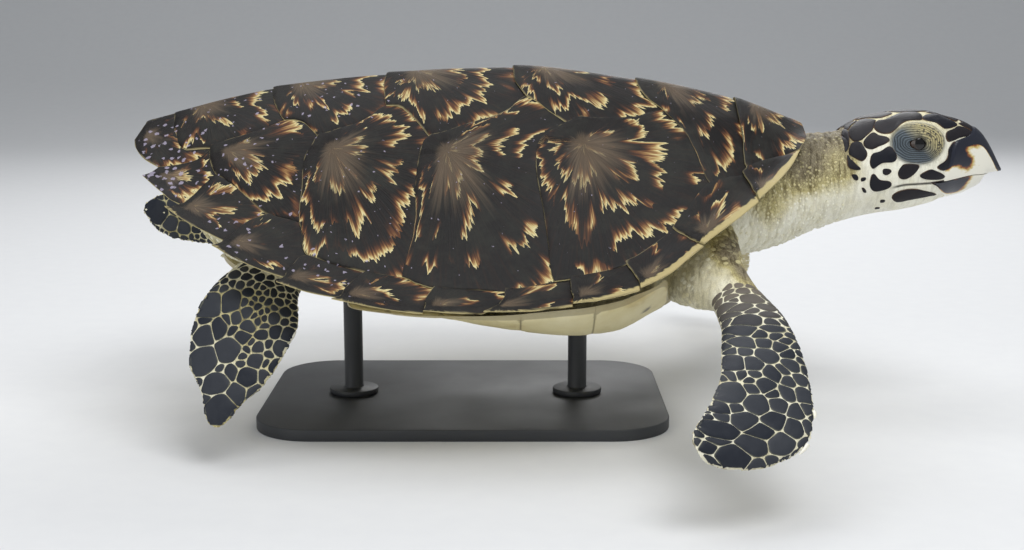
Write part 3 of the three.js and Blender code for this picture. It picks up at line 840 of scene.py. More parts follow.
@dataclass(frozen=True)
class WrinkledHide:
    """Reptile skin between the scales: pebbled, folded and dull.

    The tone mark runs from 0, cream, over 0.35, straw yellow, to 1, grey brown. The
    lid mark covers the eyelids, and the shade mark darkens slits and hollows.
    """

    cream: str = "#f4f2e2"
    straw: str = "#cfc48f"
    tan: str = "#968c72"
    grey: str = "#696254"
    lid_grey: str = "#59636a"
    lid_straw: str = "#bcb184"
    lid_dot: str = "#34353a"
    lid_fold_shade: str = "#4a4a48"
    crease_shade: str = "#6a6252"
    furrow_shade: str = "#8d8472"
    hollow: str = "#211f1e"
    roughness: float = 0.62

    def make(self) -> bpy.types.Material:
        """Builds the finish.

        Returns:
            The material.
        """
        nodes = Shader("wrinkled_hide")
        here = nodes.here()
        tone = nodes.read("tone")
        lid = nodes.read("lid")
        shade = nodes.read("shade")
        ring = nodes.read("ring")
        patch = nodes.noise(here, 60.0, 5.0, 0.65)
        moved = nodes.maths("MULTIPLY_ADD", patch, 0.34, tone)
        level = nodes.maths("SUBTRACT", moved, 0.17)
        base = nodes.ramp(level, (0.0, self.cream), (0.35, self.straw), (0.68, self.tan),
                          (1.0, self.grey))
        # Pebbles of about 1.6 mm, drawn out across the neck into fine creases. The creases between
        # the pebbles are darkened as painted shade, less so on pale skin.
        long_way = nodes.add("ShaderNodeMapping", None, {"Vector": here, "Scale": (1.9, 0.8, 0.8)})
        pebble = nodes.add("ShaderNodeTexVoronoi", {"feature": "DISTANCE_TO_EDGE"},
                           {"Vector": long_way, "Scale": 420.0})
        crease_shade = nodes.remap(pebble.outputs[0], 0.0, 0.18, 0.6, 0.0)
        crease_shade_share = nodes.remap(tone, 0.05, 0.5, 0.16, 1.0)
        shown = nodes.maths("MULTIPLY", crease_shade, crease_shade_share)
        lined = nodes.mix(shown, base, self.crease_shade, "MULTIPLY")
        # Wrinkles about 5 mm apart ring the neck, and knobs of 5 mm cover the shoulders. The
        # troughs of the wrinkles are darkened as painted shade.
        ringed = nodes.add("ShaderNodeMapping", None, {"Vector": here, "Scale": (1.0, 0.22, 0.22)})
        wrinkle = nodes.noise(ringed, 260.0, 3.0, 0.6)
        knob = nodes.add("ShaderNodeTexVoronoi", {"feature": "SMOOTH_F1"},
                         {"Vector": here, "Scale": 230.0, "Smoothness": 0.35})
        loose = nodes.remap(tone, 0.08, 0.4, 0.25, 1.0)
        furrow_shade = nodes.remap(wrinkle, 0.38, 0.52, 0.7, 0.0)
        furrows = nodes.maths("MULTIPLY", furrow_shade, loose)
        creased = nodes.mix(furrows, lined, self.furrow_shade, "MULTIPLY")
        # Eyelids: grey below and behind, straw above, dotted with dark scales.
        split = nodes.add("ShaderNodeSeparateXYZ", None, {0: here})
        high = nodes.maths("ADD", split.outputs[2], split.outputs[0])
        upper = nodes.remap(high, 0.742, 0.764, 0.0, 1.0)
        lid_base = nodes.mix(upper, self.lid_grey, self.lid_straw)
        dots = nodes.add("ShaderNodeTexVoronoi", {"feature": "F1"},
                         {"Vector": here, "Scale": 330.0})
        dotted = nodes.remap(dots.outputs["Distance"], 0.30, 0.48, 0.9, 0.0)
        dot_share = nodes.maths("MULTIPLY", dotted, upper)
        lid_dots = nodes.mix(dot_share, lid_base, self.lid_dot)
        # Painted shade: the troughs of the lid folds, where the relief sinks, are darkened.
        turns = nodes.maths("MULTIPLY", ring, 3.3)
        fold = nodes.maths("SINE", turns)
        fold_shade = nodes.remap(fold, -1.0, 0.1, 0.7, 0.0)
        lid_lined = nodes.mix(fold_shade, lid_dots, self.lid_fold_shade, "MULTIPLY")
        with_lid = nodes.mix(lid, creased, lid_lined)
        final = nodes.mix(shade, with_lid, self.hollow)
        lid_height = nodes.maths("MULTIPLY", fold, lid)
        knobs = nodes.maths("MULTIPLY_ADD", knob.outputs["Distance"], -0.9, pebble.outputs[0])
        waves = nodes.maths("MULTIPLY_ADD", wrinkle, 1.6, knobs)
        bare = nodes.maths("SUBTRACT", 1.0, lid)
        calm = nodes.maths("MULTIPLY", loose, bare)
        rough = nodes.maths("MULTIPLY", waves, calm)
        height = nodes.maths("MULTIPLY_ADD", lid_height, 0.5, rough)
        bump = nodes.bump(0.8, 0.0011, height)
        return nodes.finish({"Base Color": final, "Roughness": self.roughness,
                            "IOR": 1.45, "Specular IOR Level": 0.35, "Normal": bump})


@dataclass(frozen=True)
class ScaleHorn:
    """Thin horn scales, almost flat and faintly glossy, lighter and browner at the rim.

    Each scale carries its own tint, how faded it is and, from 0 to 1, how near a point
    is to its rim.
    """

    name: str
    core: str
    other: str
    rim: str
    faded: str = "#6d655b"
    middle: str = ""
    roughness: float = 0.5

    def make(self) -> bpy.types.Material:
        """Builds the finish.

        Returns:
            The material.
        """
        nodes = Shader(self.name)
        here = nodes.here()
        tint = nodes.read("tint")
        rim = nodes.read("rim")
        cloudy = nodes.noise(here, 130.0, 4.0, 0.6)
        moved = nodes.maths("MULTIPLY_ADD", cloudy, 0.5, tint)
        level = nodes.maths("SUBTRACT", moved, 0.25)
        stops = [(0.0, self.core), (1.0, self.other)]
        if self.middle:
            stops.insert(1, (0.42, self.middle))
        base = nodes.ramp(level, *stops)
        fade = nodes.read("fade")
        aged = nodes.mix(fade, base, self.faded)
        near = nodes.maths("MULTIPLY_ADD", cloudy, 0.5, rim)
        edge = nodes.remap(near, 1.12, 1.34, 0.0, 0.5, smooth=True)
        final = nodes.mix(edge, aged, self.rim)
        fine = nodes.noise(here, 500.0, 3.0)
        bump = nodes.bump(0.3, 0.0005, fine)
        return nodes.finish({"Base Color": final, "Roughness": self.roughness,
                            "IOR": 1.5, "Specular IOR Level": 0.24, "Normal": bump})


@dataclass(frozen=True)
class BeakHorn:
    """Solid polished horn: cream, with blue-black patches that fray out through amber."""

    cream: str = "#ebe8d9"
    yellow: str = "#cdb772"
    amber: str = "#8f5220"
    dark: str = "#141827"
    roughness: float = 0.34

    def make(self) -> bpy.types.Material:
        """Builds the finish.

        Returns:
            The material.
        """
        nodes = Shader("beak_horn")
        here = nodes.here()
        patch = nodes.read("patch")
        # Fibres run along the beak, about 2 mm apart.
        along = nodes.add("ShaderNodeMapping", None, {"Vector": here, "Scale": (0.35, 1.0, 1.0)})
        fibre = nodes.noise(along, 330.0, 3.0)
        frayed = nodes.maths("MULTIPLY_ADD", fibre, 0.5, patch)
        level = nodes.maths("SUBTRACT", frayed, 0.25)
        base = nodes.ramp(level, (0.08, self.cream), (0.30, self.yellow), (0.46, self.amber),
                          (0.60, self.dark))
        bump = nodes.bump(0.22, 0.0006, fibre)
        return nodes.finish({"Base Color": base, "Roughness": self.roughness, "IOR": 1.54,
                            "Normal": bump, "Coat Weight": 0.2, "Coat Roughness": 0.2})


@dataclass(frozen=True)
class GlassEye:
    """A taxidermist's glass eye: black pupil, deep brown iris and a clear wet coat."""

    pupil: str = "#050505"
    iris: str = "#2c211a"
    glow: str = "#463324"
    outer: str = "#3d4146"

    def make(self) -> bpy.types.Material:
        """Builds the finish.

        Returns:
            The material.
        """
        nodes = Shader("glass_eye")
        here = nodes.here()
        gaze = nodes.read("gaze")
        rays = nodes.noise(here, 700.0, 2.0)
        moved = nodes.maths("MULTIPLY_ADD", rays, 0.08, gaze)
        base = nodes.ramp(moved, (0.0, self.pupil), (0.33, self.pupil), (0.37, self.iris),
                          (0.62, self.glow), (0.68, self.outer))
        return nodes.finish({"Base Color": base, "Roughness": 0.12, "IOR": 1.5,
                            "Specular IOR Level": 0.25, "Coat Weight": 0.7,
                            "Coat Roughness": 0.03})


@dataclass(frozen=True)
class PowderCoatedSteel:
    """Flat bar and round rod in charcoal powder coat, with its fine orange peel."""

    paint: str = "#2b2d30"
    wiped: str = "#35373a"
    roughness: float = 0.5

    def make(self) -> bpy.types.Material:
        """Builds the finish.

        Returns:
            The material.
        """
        nodes = Shader("powder_coated_steel")
        here = nodes.here()
        peel = nodes.noise(here, 900.0, 2.0)
        wipe = nodes.noise(here, 9.0, 4.0)
        shine = nodes.remap(wipe, 0.3, 0.7, self.roughness - 0.08, self.roughness + 0.1)
        tone = nodes.mix(wipe, self.paint, self.wiped)
        bump = nodes.bump(0.3, 0.0004, peel)
        return nodes.finish({"Base Color": tone, "Roughness": shine, "Normal": bump})


@dataclass(frozen=True)
class StudioPaper:
    """The matt paper sweep that the model stands on."""

    tone: str = "#d9dadb"
    grain: str = "#d4d5d7"

    def make(self) -> bpy.types.Material:
        """Builds the finish.

        Returns:
            The material.
        """
        nodes = Shader("studio_paper")
        here = nodes.here()
        grain = nodes.noise(here, 40.0, 3.0)
        tone = nodes.mix(grain, self.tone, self.grain)
        return nodes.finish({"Base Color": tone, "Roughness": 0.9})


# ------------------------------------------------------------------ shell


@dataclass
class ShellForm:
    """The shell's smooth shape in its own frame, which leans onto its right side."""

    roll: float = 10.0
    height: float = 208.0
    linear: float = 0.3
    keel_height: float = 3.0
    keel_width: float = 14.0
    thick: float = 6.0
    lift: float = 3.0
    ridge_pairs: tuple = (
        (-350, 86), (-300, 101), (-191, 129), (-73, 144), (55, 151), (178, 138), (264, 122),
        (350, 93))
    rim_pairs: tuple = (
        (-350, 84), (-315, 67), (-280, 49), (-226, 27), (-164, 5), (-112, -5), (-27, -13),
        (39, -13), (102, -9), (160, -2), (190, 8), (220, 25), (250, 42), (285, 58), (320, 74),
        (350, 92))
    width_pairs: tuple = (
        (-350, 22), (-318, 88), (-277, 143), (-226, 193), (-164, 230), (-80, 254), (10, 260),
        (102, 250), (180, 227), (240, 188), (290, 138), (325, 88), (350, 46))
    base_pairs: tuple = (
        (-262, -36), (-225, -44), (-170, -48), (-100, -50), (-22, -54), (22, -62), (70, -69),
        (115, -72), (147, -71), (187, -64), (215, -58), (255, -46))
    flat_pairs: tuple = (
        (-262, 60), (-170, 78), (-100, 85), (-22, 95), (22, 110), (115, 137), (147, 137),
        (166, 130), (187, 120), (255, 90))
    curve_pairs: tuple = (
        (-100, 1), (-22, 1.6), (22, 2.3), (115, 2.6), (147, 2.4), (187, 1.6))

    def __post_init__(self) -> None:
        """Fits the smooth profiles."""
        self.ridge = Profile(self.ridge_pairs)
        self.rim = Profile(self.rim_pairs)
        self.width = Profile(self.width_pairs)
        self.base = Profile(self.base_pairs)
        self.flat = Profile(self.flat_pairs)
        self.curve = Profile(self.curve_pairs)

    def dome(self, plan: np.ndarray) -> np.ndarray:
        """Finds the height of the carapace.

        Args:
            plan: N by 2 plan points.

        Returns:
            N heights in the shell's frame.
        """
        x, y = plan[:, 0], plan[:, 1]
        s = np.clip(np.abs(y) / self.width(x), 0, 1)
        share = self.linear * (1 - s) + (1 - self.linear) * 0.5 * (1 + np.cos(np.pi * s))
        keel = self.keel_height * np.exp(-((y / self.keel_width) ** 2))
        return self.rim(x) + (self.ridge(x) - self.rim(x)) * share + keel

    def under(self, plan: np.ndarray) -> np.ndarray:
        """Finds the height of the shell's underside.

        Args:
            plan: N by 2 plan points.

        Returns:
            N heights in the shell's frame.
        """
        x, y = plan[:, 0], plan[:, 1]
        flat, start = self.base(x), self.flat(x)
        u = np.clip((np.abs(y) - start) / (self.width(x) - start), 0, 1)
        return flat + (self.rim(x) - self.thick - flat) * u ** self.curve(x)

    def world(self, points: np.ndarray) -> np.ndarray:
        """Turns points of the shell's frame into the model's frame.

        Args:
            points: N by 3 points in millimetres.

        Returns:
            The same points in the model's frame, in millimetres.
        """
        turn = math.radians(self.roll)
        c, s = math.cos(turn), math.sin(turn)
        x, y, z = points.T
        return np.stack([x, y * c - z * s, y * s + z * c + self.height], axis=1)

    def local(self, points: np.ndarray) -> np.ndarray:
        """Turns points of the model's frame into the shell's frame.

        Args:
            points: N by 3 points in millimetres.

        Returns:
            The same points in the shell's frame, in millimetres.
        """
        turn = math.radians(self.roll)
        c, s = math.cos(turn), math.sin(turn)
        x, y, z = points[:, 0], points[:, 1], points[:, 2] - self.height
        return np.stack([x, y * c + z * s, z * c - y * s], axis=1)

    def slab(self, name: str, filling: tuple[np.ndarray, list[tuple]], top: np.ndarray,
             bottom: np.ndarray) -> bpy.types.Object:
        """Closes two faces over one plan into a solid.

        Args:
            name: The object's name.
            filling: The plan points and the triangles between them.
            top: Height of the upper face at each plan point.
            bottom: Height of the lower face.

        Returns:
            The solid, upper points first.
        """
        flat, triangles = filling
        count = len(flat)
        points = np.vstack([np.column_stack([flat, top]), np.column_stack([flat, bottom])])
        faces = triangles + [(c + count, b + count, a + count) for a, b, c in triangles]
        pairs = {e for a, b, c in triangles for e in ((a, b), (b, c), (c, a))}
        faces += [(b, a, a + count, b + count) for a, b in pairs if (b, a) not in pairs]
        return new_object(name, self.world(points) * MM, faces)


@dataclass
class Plate:
    """One horn plate: its plan outline, growth centre and which sides lie free."""

    name: str
    outline: Plan
    centre: tuple[float, float]
    number: float
    overlap: float = 3.5
    side_overlap: float = 1.5
    edge_thick: float = 1.2
    thick: float = 6.0
    grid: float = 4.5


@dataclass
class Carapace:
    """The overlapping scutes of the upper shell, each a plate of horn of its own."""

    form: ShellForm
    horn: bpy.types.Material
    band: float = 37.0
    band_share: float = 0.55
    worn_edge: float = 1.6
    crisp: float = 50.0

    JOINTS = {
        "front": (350, 0), "nuchal_rim": (338, 60), "nuchal_rear": (281, 96),
        "m1": (277, 103), "v1": (244, 118), "t1": (204, 40), "c1": (108, 72),
        "t2": (67, 42), "c2": (-28, 86), "t3": (-73, 47), "c3": (-138, 76),
        "t4": (-175, 51), "c4": (-247, 67), "m2": (204, 163), "m3": (158, 196),
        "m4": (105, 214), "foot1": (90, 217), "m5": (45, 227), "m6": (-20, 225),
        "foot2": (-49, 213), "m7": (-84, 208), "m8": (-137, 190), "foot3": (-149, 158),
        "m9": (-181, 146), "m10": (-237, 99),
    }
    RIM_SEAMS = (
        ("m1", (284, 124), (285, 147)), ("m2", (216, 176), (228, 196)),
        ("m3", (166, 212), (167, 232)), ("m4", (106, 230), (105, 250)),
        ("m5", (44, 241), (24, 260)), ("m6", (-27, 242), (-30, 258)),
        ("m7", (-96, 224), (-106, 243)), ("m8", (-147, 196), (-158, 219)),
        ("m9", (-202, 158), (-217, 180)), ("m10", (-249, 112), (-265, 132)),
        ("c4", (-262, 77), (-300, 78)),
    )
    RIMS = (
        ([(285, 147), (258, 174), (228, 196)], []), ([(228, 196), (198, 218), (167, 232)], []),
        ([(167, 232), (137, 243), (105, 250)], []), ([(105, 250), (64, 257), (24, 260)], []),
        ([(24, 260), (-4, 260), (-30, 258)], []),
        ([(-30, 258), (-70, 255), (-113, 249)], [(-106, 243)]),
        ([(-106, 243), (-136, 239), (-165, 231)], [(-158, 219)]),
        ([(-158, 219), (-194, 210), (-229, 195)], [(-217, 180)]),
        ([(-217, 180), (-250, 165), (-282, 144)], [(-265, 132)]),
        ([(-265, 132), (-290, 116), (-313, 95)], [(-300, 78)]),
        ([(-300, 78), (-319, 62), (-331, 42), (-335, 28)], [(-328, 5)]),
    )

    def __post_init__(self) -> None:
        """Draws the seams once."""
        j = self.JOINTS
        line = round_line
        self.seam = {
            "nuchal_side": line([j["nuchal_rear"], (293, 87), (307, 77), (320, 69),
                                 j["nuchal_rim"]]),
            "nuchal_v1": line([(282, 0), (283, 43), (283, 66), j["nuchal_rear"]]),
            "v1_side": line([j["t1"], (218, 55), (226, 66), (233, 82), (238, 98), j["v1"]]),
            "v1_front": line([j["v1"], j["m1"], j["nuchal_rear"]]),
            "v1v2": line([(180, 0), (187, 24), j["t1"]]),
            "v2v3": line([(54, 0), (57, 24), j["t2"]]),
            "v3v4": line([(-74, 0), (-76, 24), j["t3"]]),
            "v4v5": line([(-191, 0), (-187, 26), j["t4"]]),
            "v2c1": line([j["t1"], (180, 52), (158, 58), (135, 62), (119, 64), j["c1"]]),
            "v2c2": line([j["t2"], (88, 57), j["c1"]]),
            "v3c2": line([j["t2"], (52, 58), (36, 66), (12, 73), (-10, 80), j["c2"]]),
            "v3c3": line([j["t3"], (-58, 52), (-42, 66), j["c2"]]),
            "v4c3": line([j["t3"], (-88, 60), (-104, 67), (-122, 71), j["c3"]]),
            "v4c4": line([j["t4"], (-162, 55), (-148, 63), j["c3"]]),
            "v5c4": line([j["t4"], (-194, 57), (-215, 62), (-233, 64), j["c4"]]),
            "c1c2": line([j["c1"], (88, 85), (79, 97), (77, 114), (80, 134), (85, 160),
                          (88, 186), j["foot1"]]),
            "c2c3": line([j["c2"], (-35, 97), (-39, 126), (-38, 158), (-42, 186), j["foot2"]]),
            "c3c4": line([j["c3"], (-143, 86), (-149, 101), (-149, 126), j["foot3"]]),
            "v5rear": line([(-295, 0), (-289, 30), (-277, 57), (-261, 64), j["c4"]]),
            "c4rear": line([j["m10"], (-244, 84), j["c4"]]),
        }
        foot = [j["nuchal_rear"], j["m1"], j["v1"], j["m2"], j["m3"], j["m4"], j["foot1"],
                j["m5"], j["m6"], j["foot2"], j["m7"], j["m8"], j["foot3"], j["m9"],
                (-211, 119), j["m10"]]
        self.foot = round_line(foot)

    def foot_part(self, start: str, end: str) -> Plan:
        """Takes a stretch of the costals' lower seam.

        Args:
            start: Name of the joint where it starts.
            end: Name of the joint behind it where it ends.

        Returns:
            The stretch, rearwards.
        """
        ends = [min(range(len(self.foot)), key=lambda i: math.dist(self.foot[i], self.JOINTS[n]))
                for n in (start, end)]
        return self.foot[ends[0]:ends[1] + 1]

    def plates(self) -> list[Plate]:
        """Lists every plate of the carapace with its outline and growth centre.

        Returns:
            The plates.
        """
        s, j, foot = self.seam, self.JOINTS, self.foot_part
        back = lambda name: s[name][::-1]
        found: list[Plate] = []
        nuchal = loop_of([j["front"], (350, 18), (349, 34), (344, 48)], back("nuchal_side"),
                         back("nuchal_v1"))
        found.append(Plate("nuchal", both_halves(nuchal), (300, 0), 0.3))
        halves = [
            loop_of(s["nuchal_v1"], back("v1_front"), back("v1_side"), back("v1v2")),
            loop_of(s["v1v2"], s["v2c1"], back("v2c2"), back("v2v3")),
            loop_of(s["v2v3"], s["v3c2"], back("v3c3"), back("v3v4")),
            loop_of(s["v3v4"], s["v4c3"], back("v4c4"), back("v4v5")),
            loop_of(s["v4v5"], s["v5c4"], back("v5rear")),
        ]
        for i, (half, x) in enumerate(zip(halves, (206, 82, -48, -166, -268))):
            found.append(Plate(f"vertebral_{i + 1}", both_halves(half), (x, 0), 1.7 + i))
        costals = [
            loop_of(s["v2c1"], s["c1c2"], foot("v1", "foot1")[::-1], back("v1_side")),
            loop_of(back("v2c2"), s["v3c2"], s["c2c3"], foot("foot1", "foot2")[::-1],
                    back("c1c2")),
            loop_of(back("v3c3"), s["v4c3"], s["c3c4"], foot("foot2", "foot3")[::-1],
                    back("c2c3")),
            loop_of(back("v4c4"), s["v5c4"], back("c4rear"), foot("foot3", "m10")[::-1],
                    back("c3c4")),
        ]
        centres = ((119, 92), (-14, 101), (-126, 92), (-230, 78))
        for i, (outline, centre) in enumerate(zip(costals, centres)):
            found.append(Plate(f"costal_left_{i + 1}", outline, centre, 7.1 + i))
            mirror = (centre[0], -centre[1])
            found.append(Plate(f"costal_right_{i + 1}", flipped(outline), mirror, 12.4 + i))
        found.extend(self.marginals())
        return found

    def marginals(self) -> list[Plate]:
        """Lists the twelve rim plates of each side; the rear ones end in free points.

        Returns:
            The plates.
        """
        j, foot = self.JOINTS, self.foot_part
        seams = [self.seam["nuchal_side"]]
        seams += [round_line([j[name], *rest]) for name, *rest in self.RIM_SEAMS]
        seams += [[(-295, 0), (-328, 0)]]
        rims = [round_line([j["nuchal_rim"], (326, 88), (307, 118), (285, 147)])]
        rims += [round_line(line) + point for line, point in self.RIMS]
        names = ["nuchal_rear"] + [f"m{i}" for i in range(1, 11)]
        inner = [foot(a, b) for a, b in zip(names, names[1:])]
        inner += [self.seam["c4rear"], self.seam["v5rear"][::-1]]
        found: list[Plate] = []
        for i in range(12):
            outline = loop_of(seams[i], rims[i], seams[i + 1][::-1], inner[i][::-1])
            rear_rim = np.array(rims[i][-2 if i > 5 else -1])
            rear_seam = np.array(seams[i + 1][len(seams[i + 1]) // 2])
            spot = rear_rim * 0.45 + rear_seam * 0.25 + np.mean(outline, axis=0) * 0.30
            x, y = float(spot[0]), float(spot[1])
            for side, shape, centre, shift in (("left", outline, (x, y), 0.5),
                                               ("right", flipped(outline), (x, -y), 0.0)):
                found.append(Plate(f"marginal_{side}_{i + 1}", shape, centre,
                                   20.9 + 1.37 * i + shift, overlap=2.2, side_overlap=0.3,
                                   thick=6.0 if i < 7 else 5.0))
        return found

    def build(self) -> list[bpy.types.Object]:
        """Builds and dresses all plates."""
        return [self.plate(p) for p in self.plates()]

    def reach(self, plate: Plate, loop: np.ndarray, normal: np.ndarray) -> np.ndarray:
        """Works out how far a plate's edge passes its seam.

        Rear edges reach over the next plate, front edges pass a little under the one
        ahead, and the free rim stays where it is.

        Args:
            plate: The plate.
            loop: Its seam, anticlockwise.
            normal: The directions out of it.

        Returns:
            N distances.
        """
        rim_free = np.abs(loop[:, 1]) > self.form.width(loop[:, 0]) - 14
        if plate.name.startswith("marginal"):
            rim_free |= loop[:, 0] < -297
        rear = np.clip(-normal[:, 0], 0, 1)
        side = np.clip(np.abs(normal[:, 1]) - 0.6, 0, 0.4) / 0.4
        flank = np.sign(loop[:, 1]) * normal[:, 1] > 0
        reach = np.maximum(plate.overlap * ease(rear, 0.25, 0.7),
                           np.where(flank, plate.side_overlap * side, 0.0))
        reach = np.where(rim_free, -0.4, np.where(reach < 0.2, -0.35, reach))
        reach = (np.roll(reach, 1) + reach * 2 + np.roll(reach, -1)) / 4
        # The free rear edge is worn into shallow notches.
        wear = cloud(np.column_stack([loop, np.full(len(loop), plate.number)]), 9.0, 5) - 0.5
        return reach + wear * self.worn_edge * ease(reach, 0.4, 2.0)

    def filling(self, plate: Plate, outer: np.ndarray, normal: np.ndarray
                ) -> tuple[np.ndarray, list[tuple]]:
        """Fills a plate's outline with triangles, finer along its edge.

        Args:
            plate: The plate.
            outer: Its outline.
            normal: The directions out of it.

        Returns:
            The plan points and the triangles.
        """
        low = outer.min(0)
        cells = np.maximum(((outer.max(0) - low) / plate.grid).astype(int), 2)
        gx, gy = np.meshgrid(np.arange(cells[0] + 1), np.arange(cells[1] + 1), indexing="ij")
        gx, gy = gx.ravel() + 0.5 * (gy.ravel() % 2), gy.ravel()
        grid = np.column_stack([gx, gy]) * plate.grid + low
        grid = grid[inside(grid, outer)]
        grid = grid[edge_distance(grid, outer) > 0.55 * plate.grid]
        inward = outer - normal * 1.4
        inward = inward[inside(inward, outer) & (edge_distance(inward, outer) > 1.0)]
        return triangulated(outer, np.vstack([inward, grid]))

    def plate(self, plate: Plate) -> bpy.types.Object:
        """Builds one plate as a closed solid with a thin free rear edge.

        Args:
            plate: Its outline and sizes.

        Returns:
            The dressed object.
        """
        loop = turned_left(plate.outline, 3.0)
        normal = outward(loop)
        outer = loop + normal * self.reach(plate, loop, normal)[:, None]
        flat, triangles = self.filling(plate, outer, normal)
        distance = edge_distance(flat, outer)
        over = edge_distance(flat, loop) * np.where(inside(flat, loop), -1, 1)
        x0, x1 = loop[:, 0].min(), loop[:, 0].max()
        rise = self.form.lift * np.clip((x1 - flat[:, 0]) / (x1 - x0), 0, 1)
        swell = cloud(np.column_stack([flat, np.full(len(flat), plate.number)]), 30.0, 2) - 0.5
        top = self.form.dome(flat) + rise + swell * 0.8 - 0.9 * ease(distance, 2.4, 0.0)
        depth = np.where(over > -6, plate.edge_thick + (plate.thick - plate.edge_thick)
                         * ease(-over, 0.5, 6.0), plate.thick)
        bottom = np.maximum(top - depth, self.form.dome(flat) - plate.thick)
        bottom = np.minimum(bottom, top - 0.5)
        piece = self.form.slab(plate.name + "_horn", (flat, triangles), top, bottom)
        self.mark_growth(piece, plate, flat, outer, distance)
        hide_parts(plate.name)
        dress(piece, self.horn, Part.CARAPACE, self.crisp)
        return piece

    def mark_growth(self, piece: bpy.types.Object, plate: Plate, flat: np.ndarray,
                    outer: np.ndarray, distance: np.ndarray) -> None:
        """Stores how the horn grew, which its colours follow.

        Args:
            piece: The plate's object, upper points first.
            plate: The plate.
            flat: Plan points of one face.
            outer: The plate's outline.
            distance: Distance of the plan points from it.
        """
        arm = flat - np.array(plate.centre)
        length = np.maximum(np.linalg.norm(arm, axis=1), 1e-6)
        turn = np.arctan2(arm[:, 1], arm[:, 0])
        border = outer - np.array(plate.centre)
        order = np.argsort(np.arctan2(border[:, 1], border[:, 0]))
        angle = np.arctan2(border[:, 1], border[:, 0])[order]
        reach = np.linalg.norm(border, axis=1)[order]
        angle = np.concatenate([angle - 2 * np.pi, angle, angle + 2 * np.pi])
        reach = np.tile(reach, 3)
        limit = np.interp(turn, angle, reach)
        grow = np.clip(length / limit, 0, 1)
        size = np.maximum(reach.max() / 100.0, 0.35)
        for name, values in (("grow", grow), ("fan", turn * 80.0 * size),
                             ("plate", np.full(len(flat), plate.number)), ("edge", distance)):
            mark(piece, name, np.tile(values, 2))
        mark(piece, "under", np.repeat([0.0, 1.0], len(flat)))
        mark(piece, "room", np.tile(0.30 + 0.70 * ease(limit, 22, 46), 2))
        # The bands are half set by distance and half by the plate's own shape.
        widest = max(42.5, float(reach.max()))
        phase = self.band_share * length + (1 - self.band_share) * grow * widest
        mark(piece, "rings", np.tile(phase / self.band, 2))
        lip = np.zeros(len(flat))
        if plate.name.startswith("marginal"):
            rim = self.form.width(flat[:, 0]) - np.abs(flat[:, 1])
            wide = 1.5 + 9.5 * ease(flat[:, 0], 90, 235)
            lip = ease(rim, wide + 3, wide - 3) * (0.50 + 0.42 * ease(flat[:, 0], 40, 190))
        mark(piece, "lip", np.tile(lip, 2))


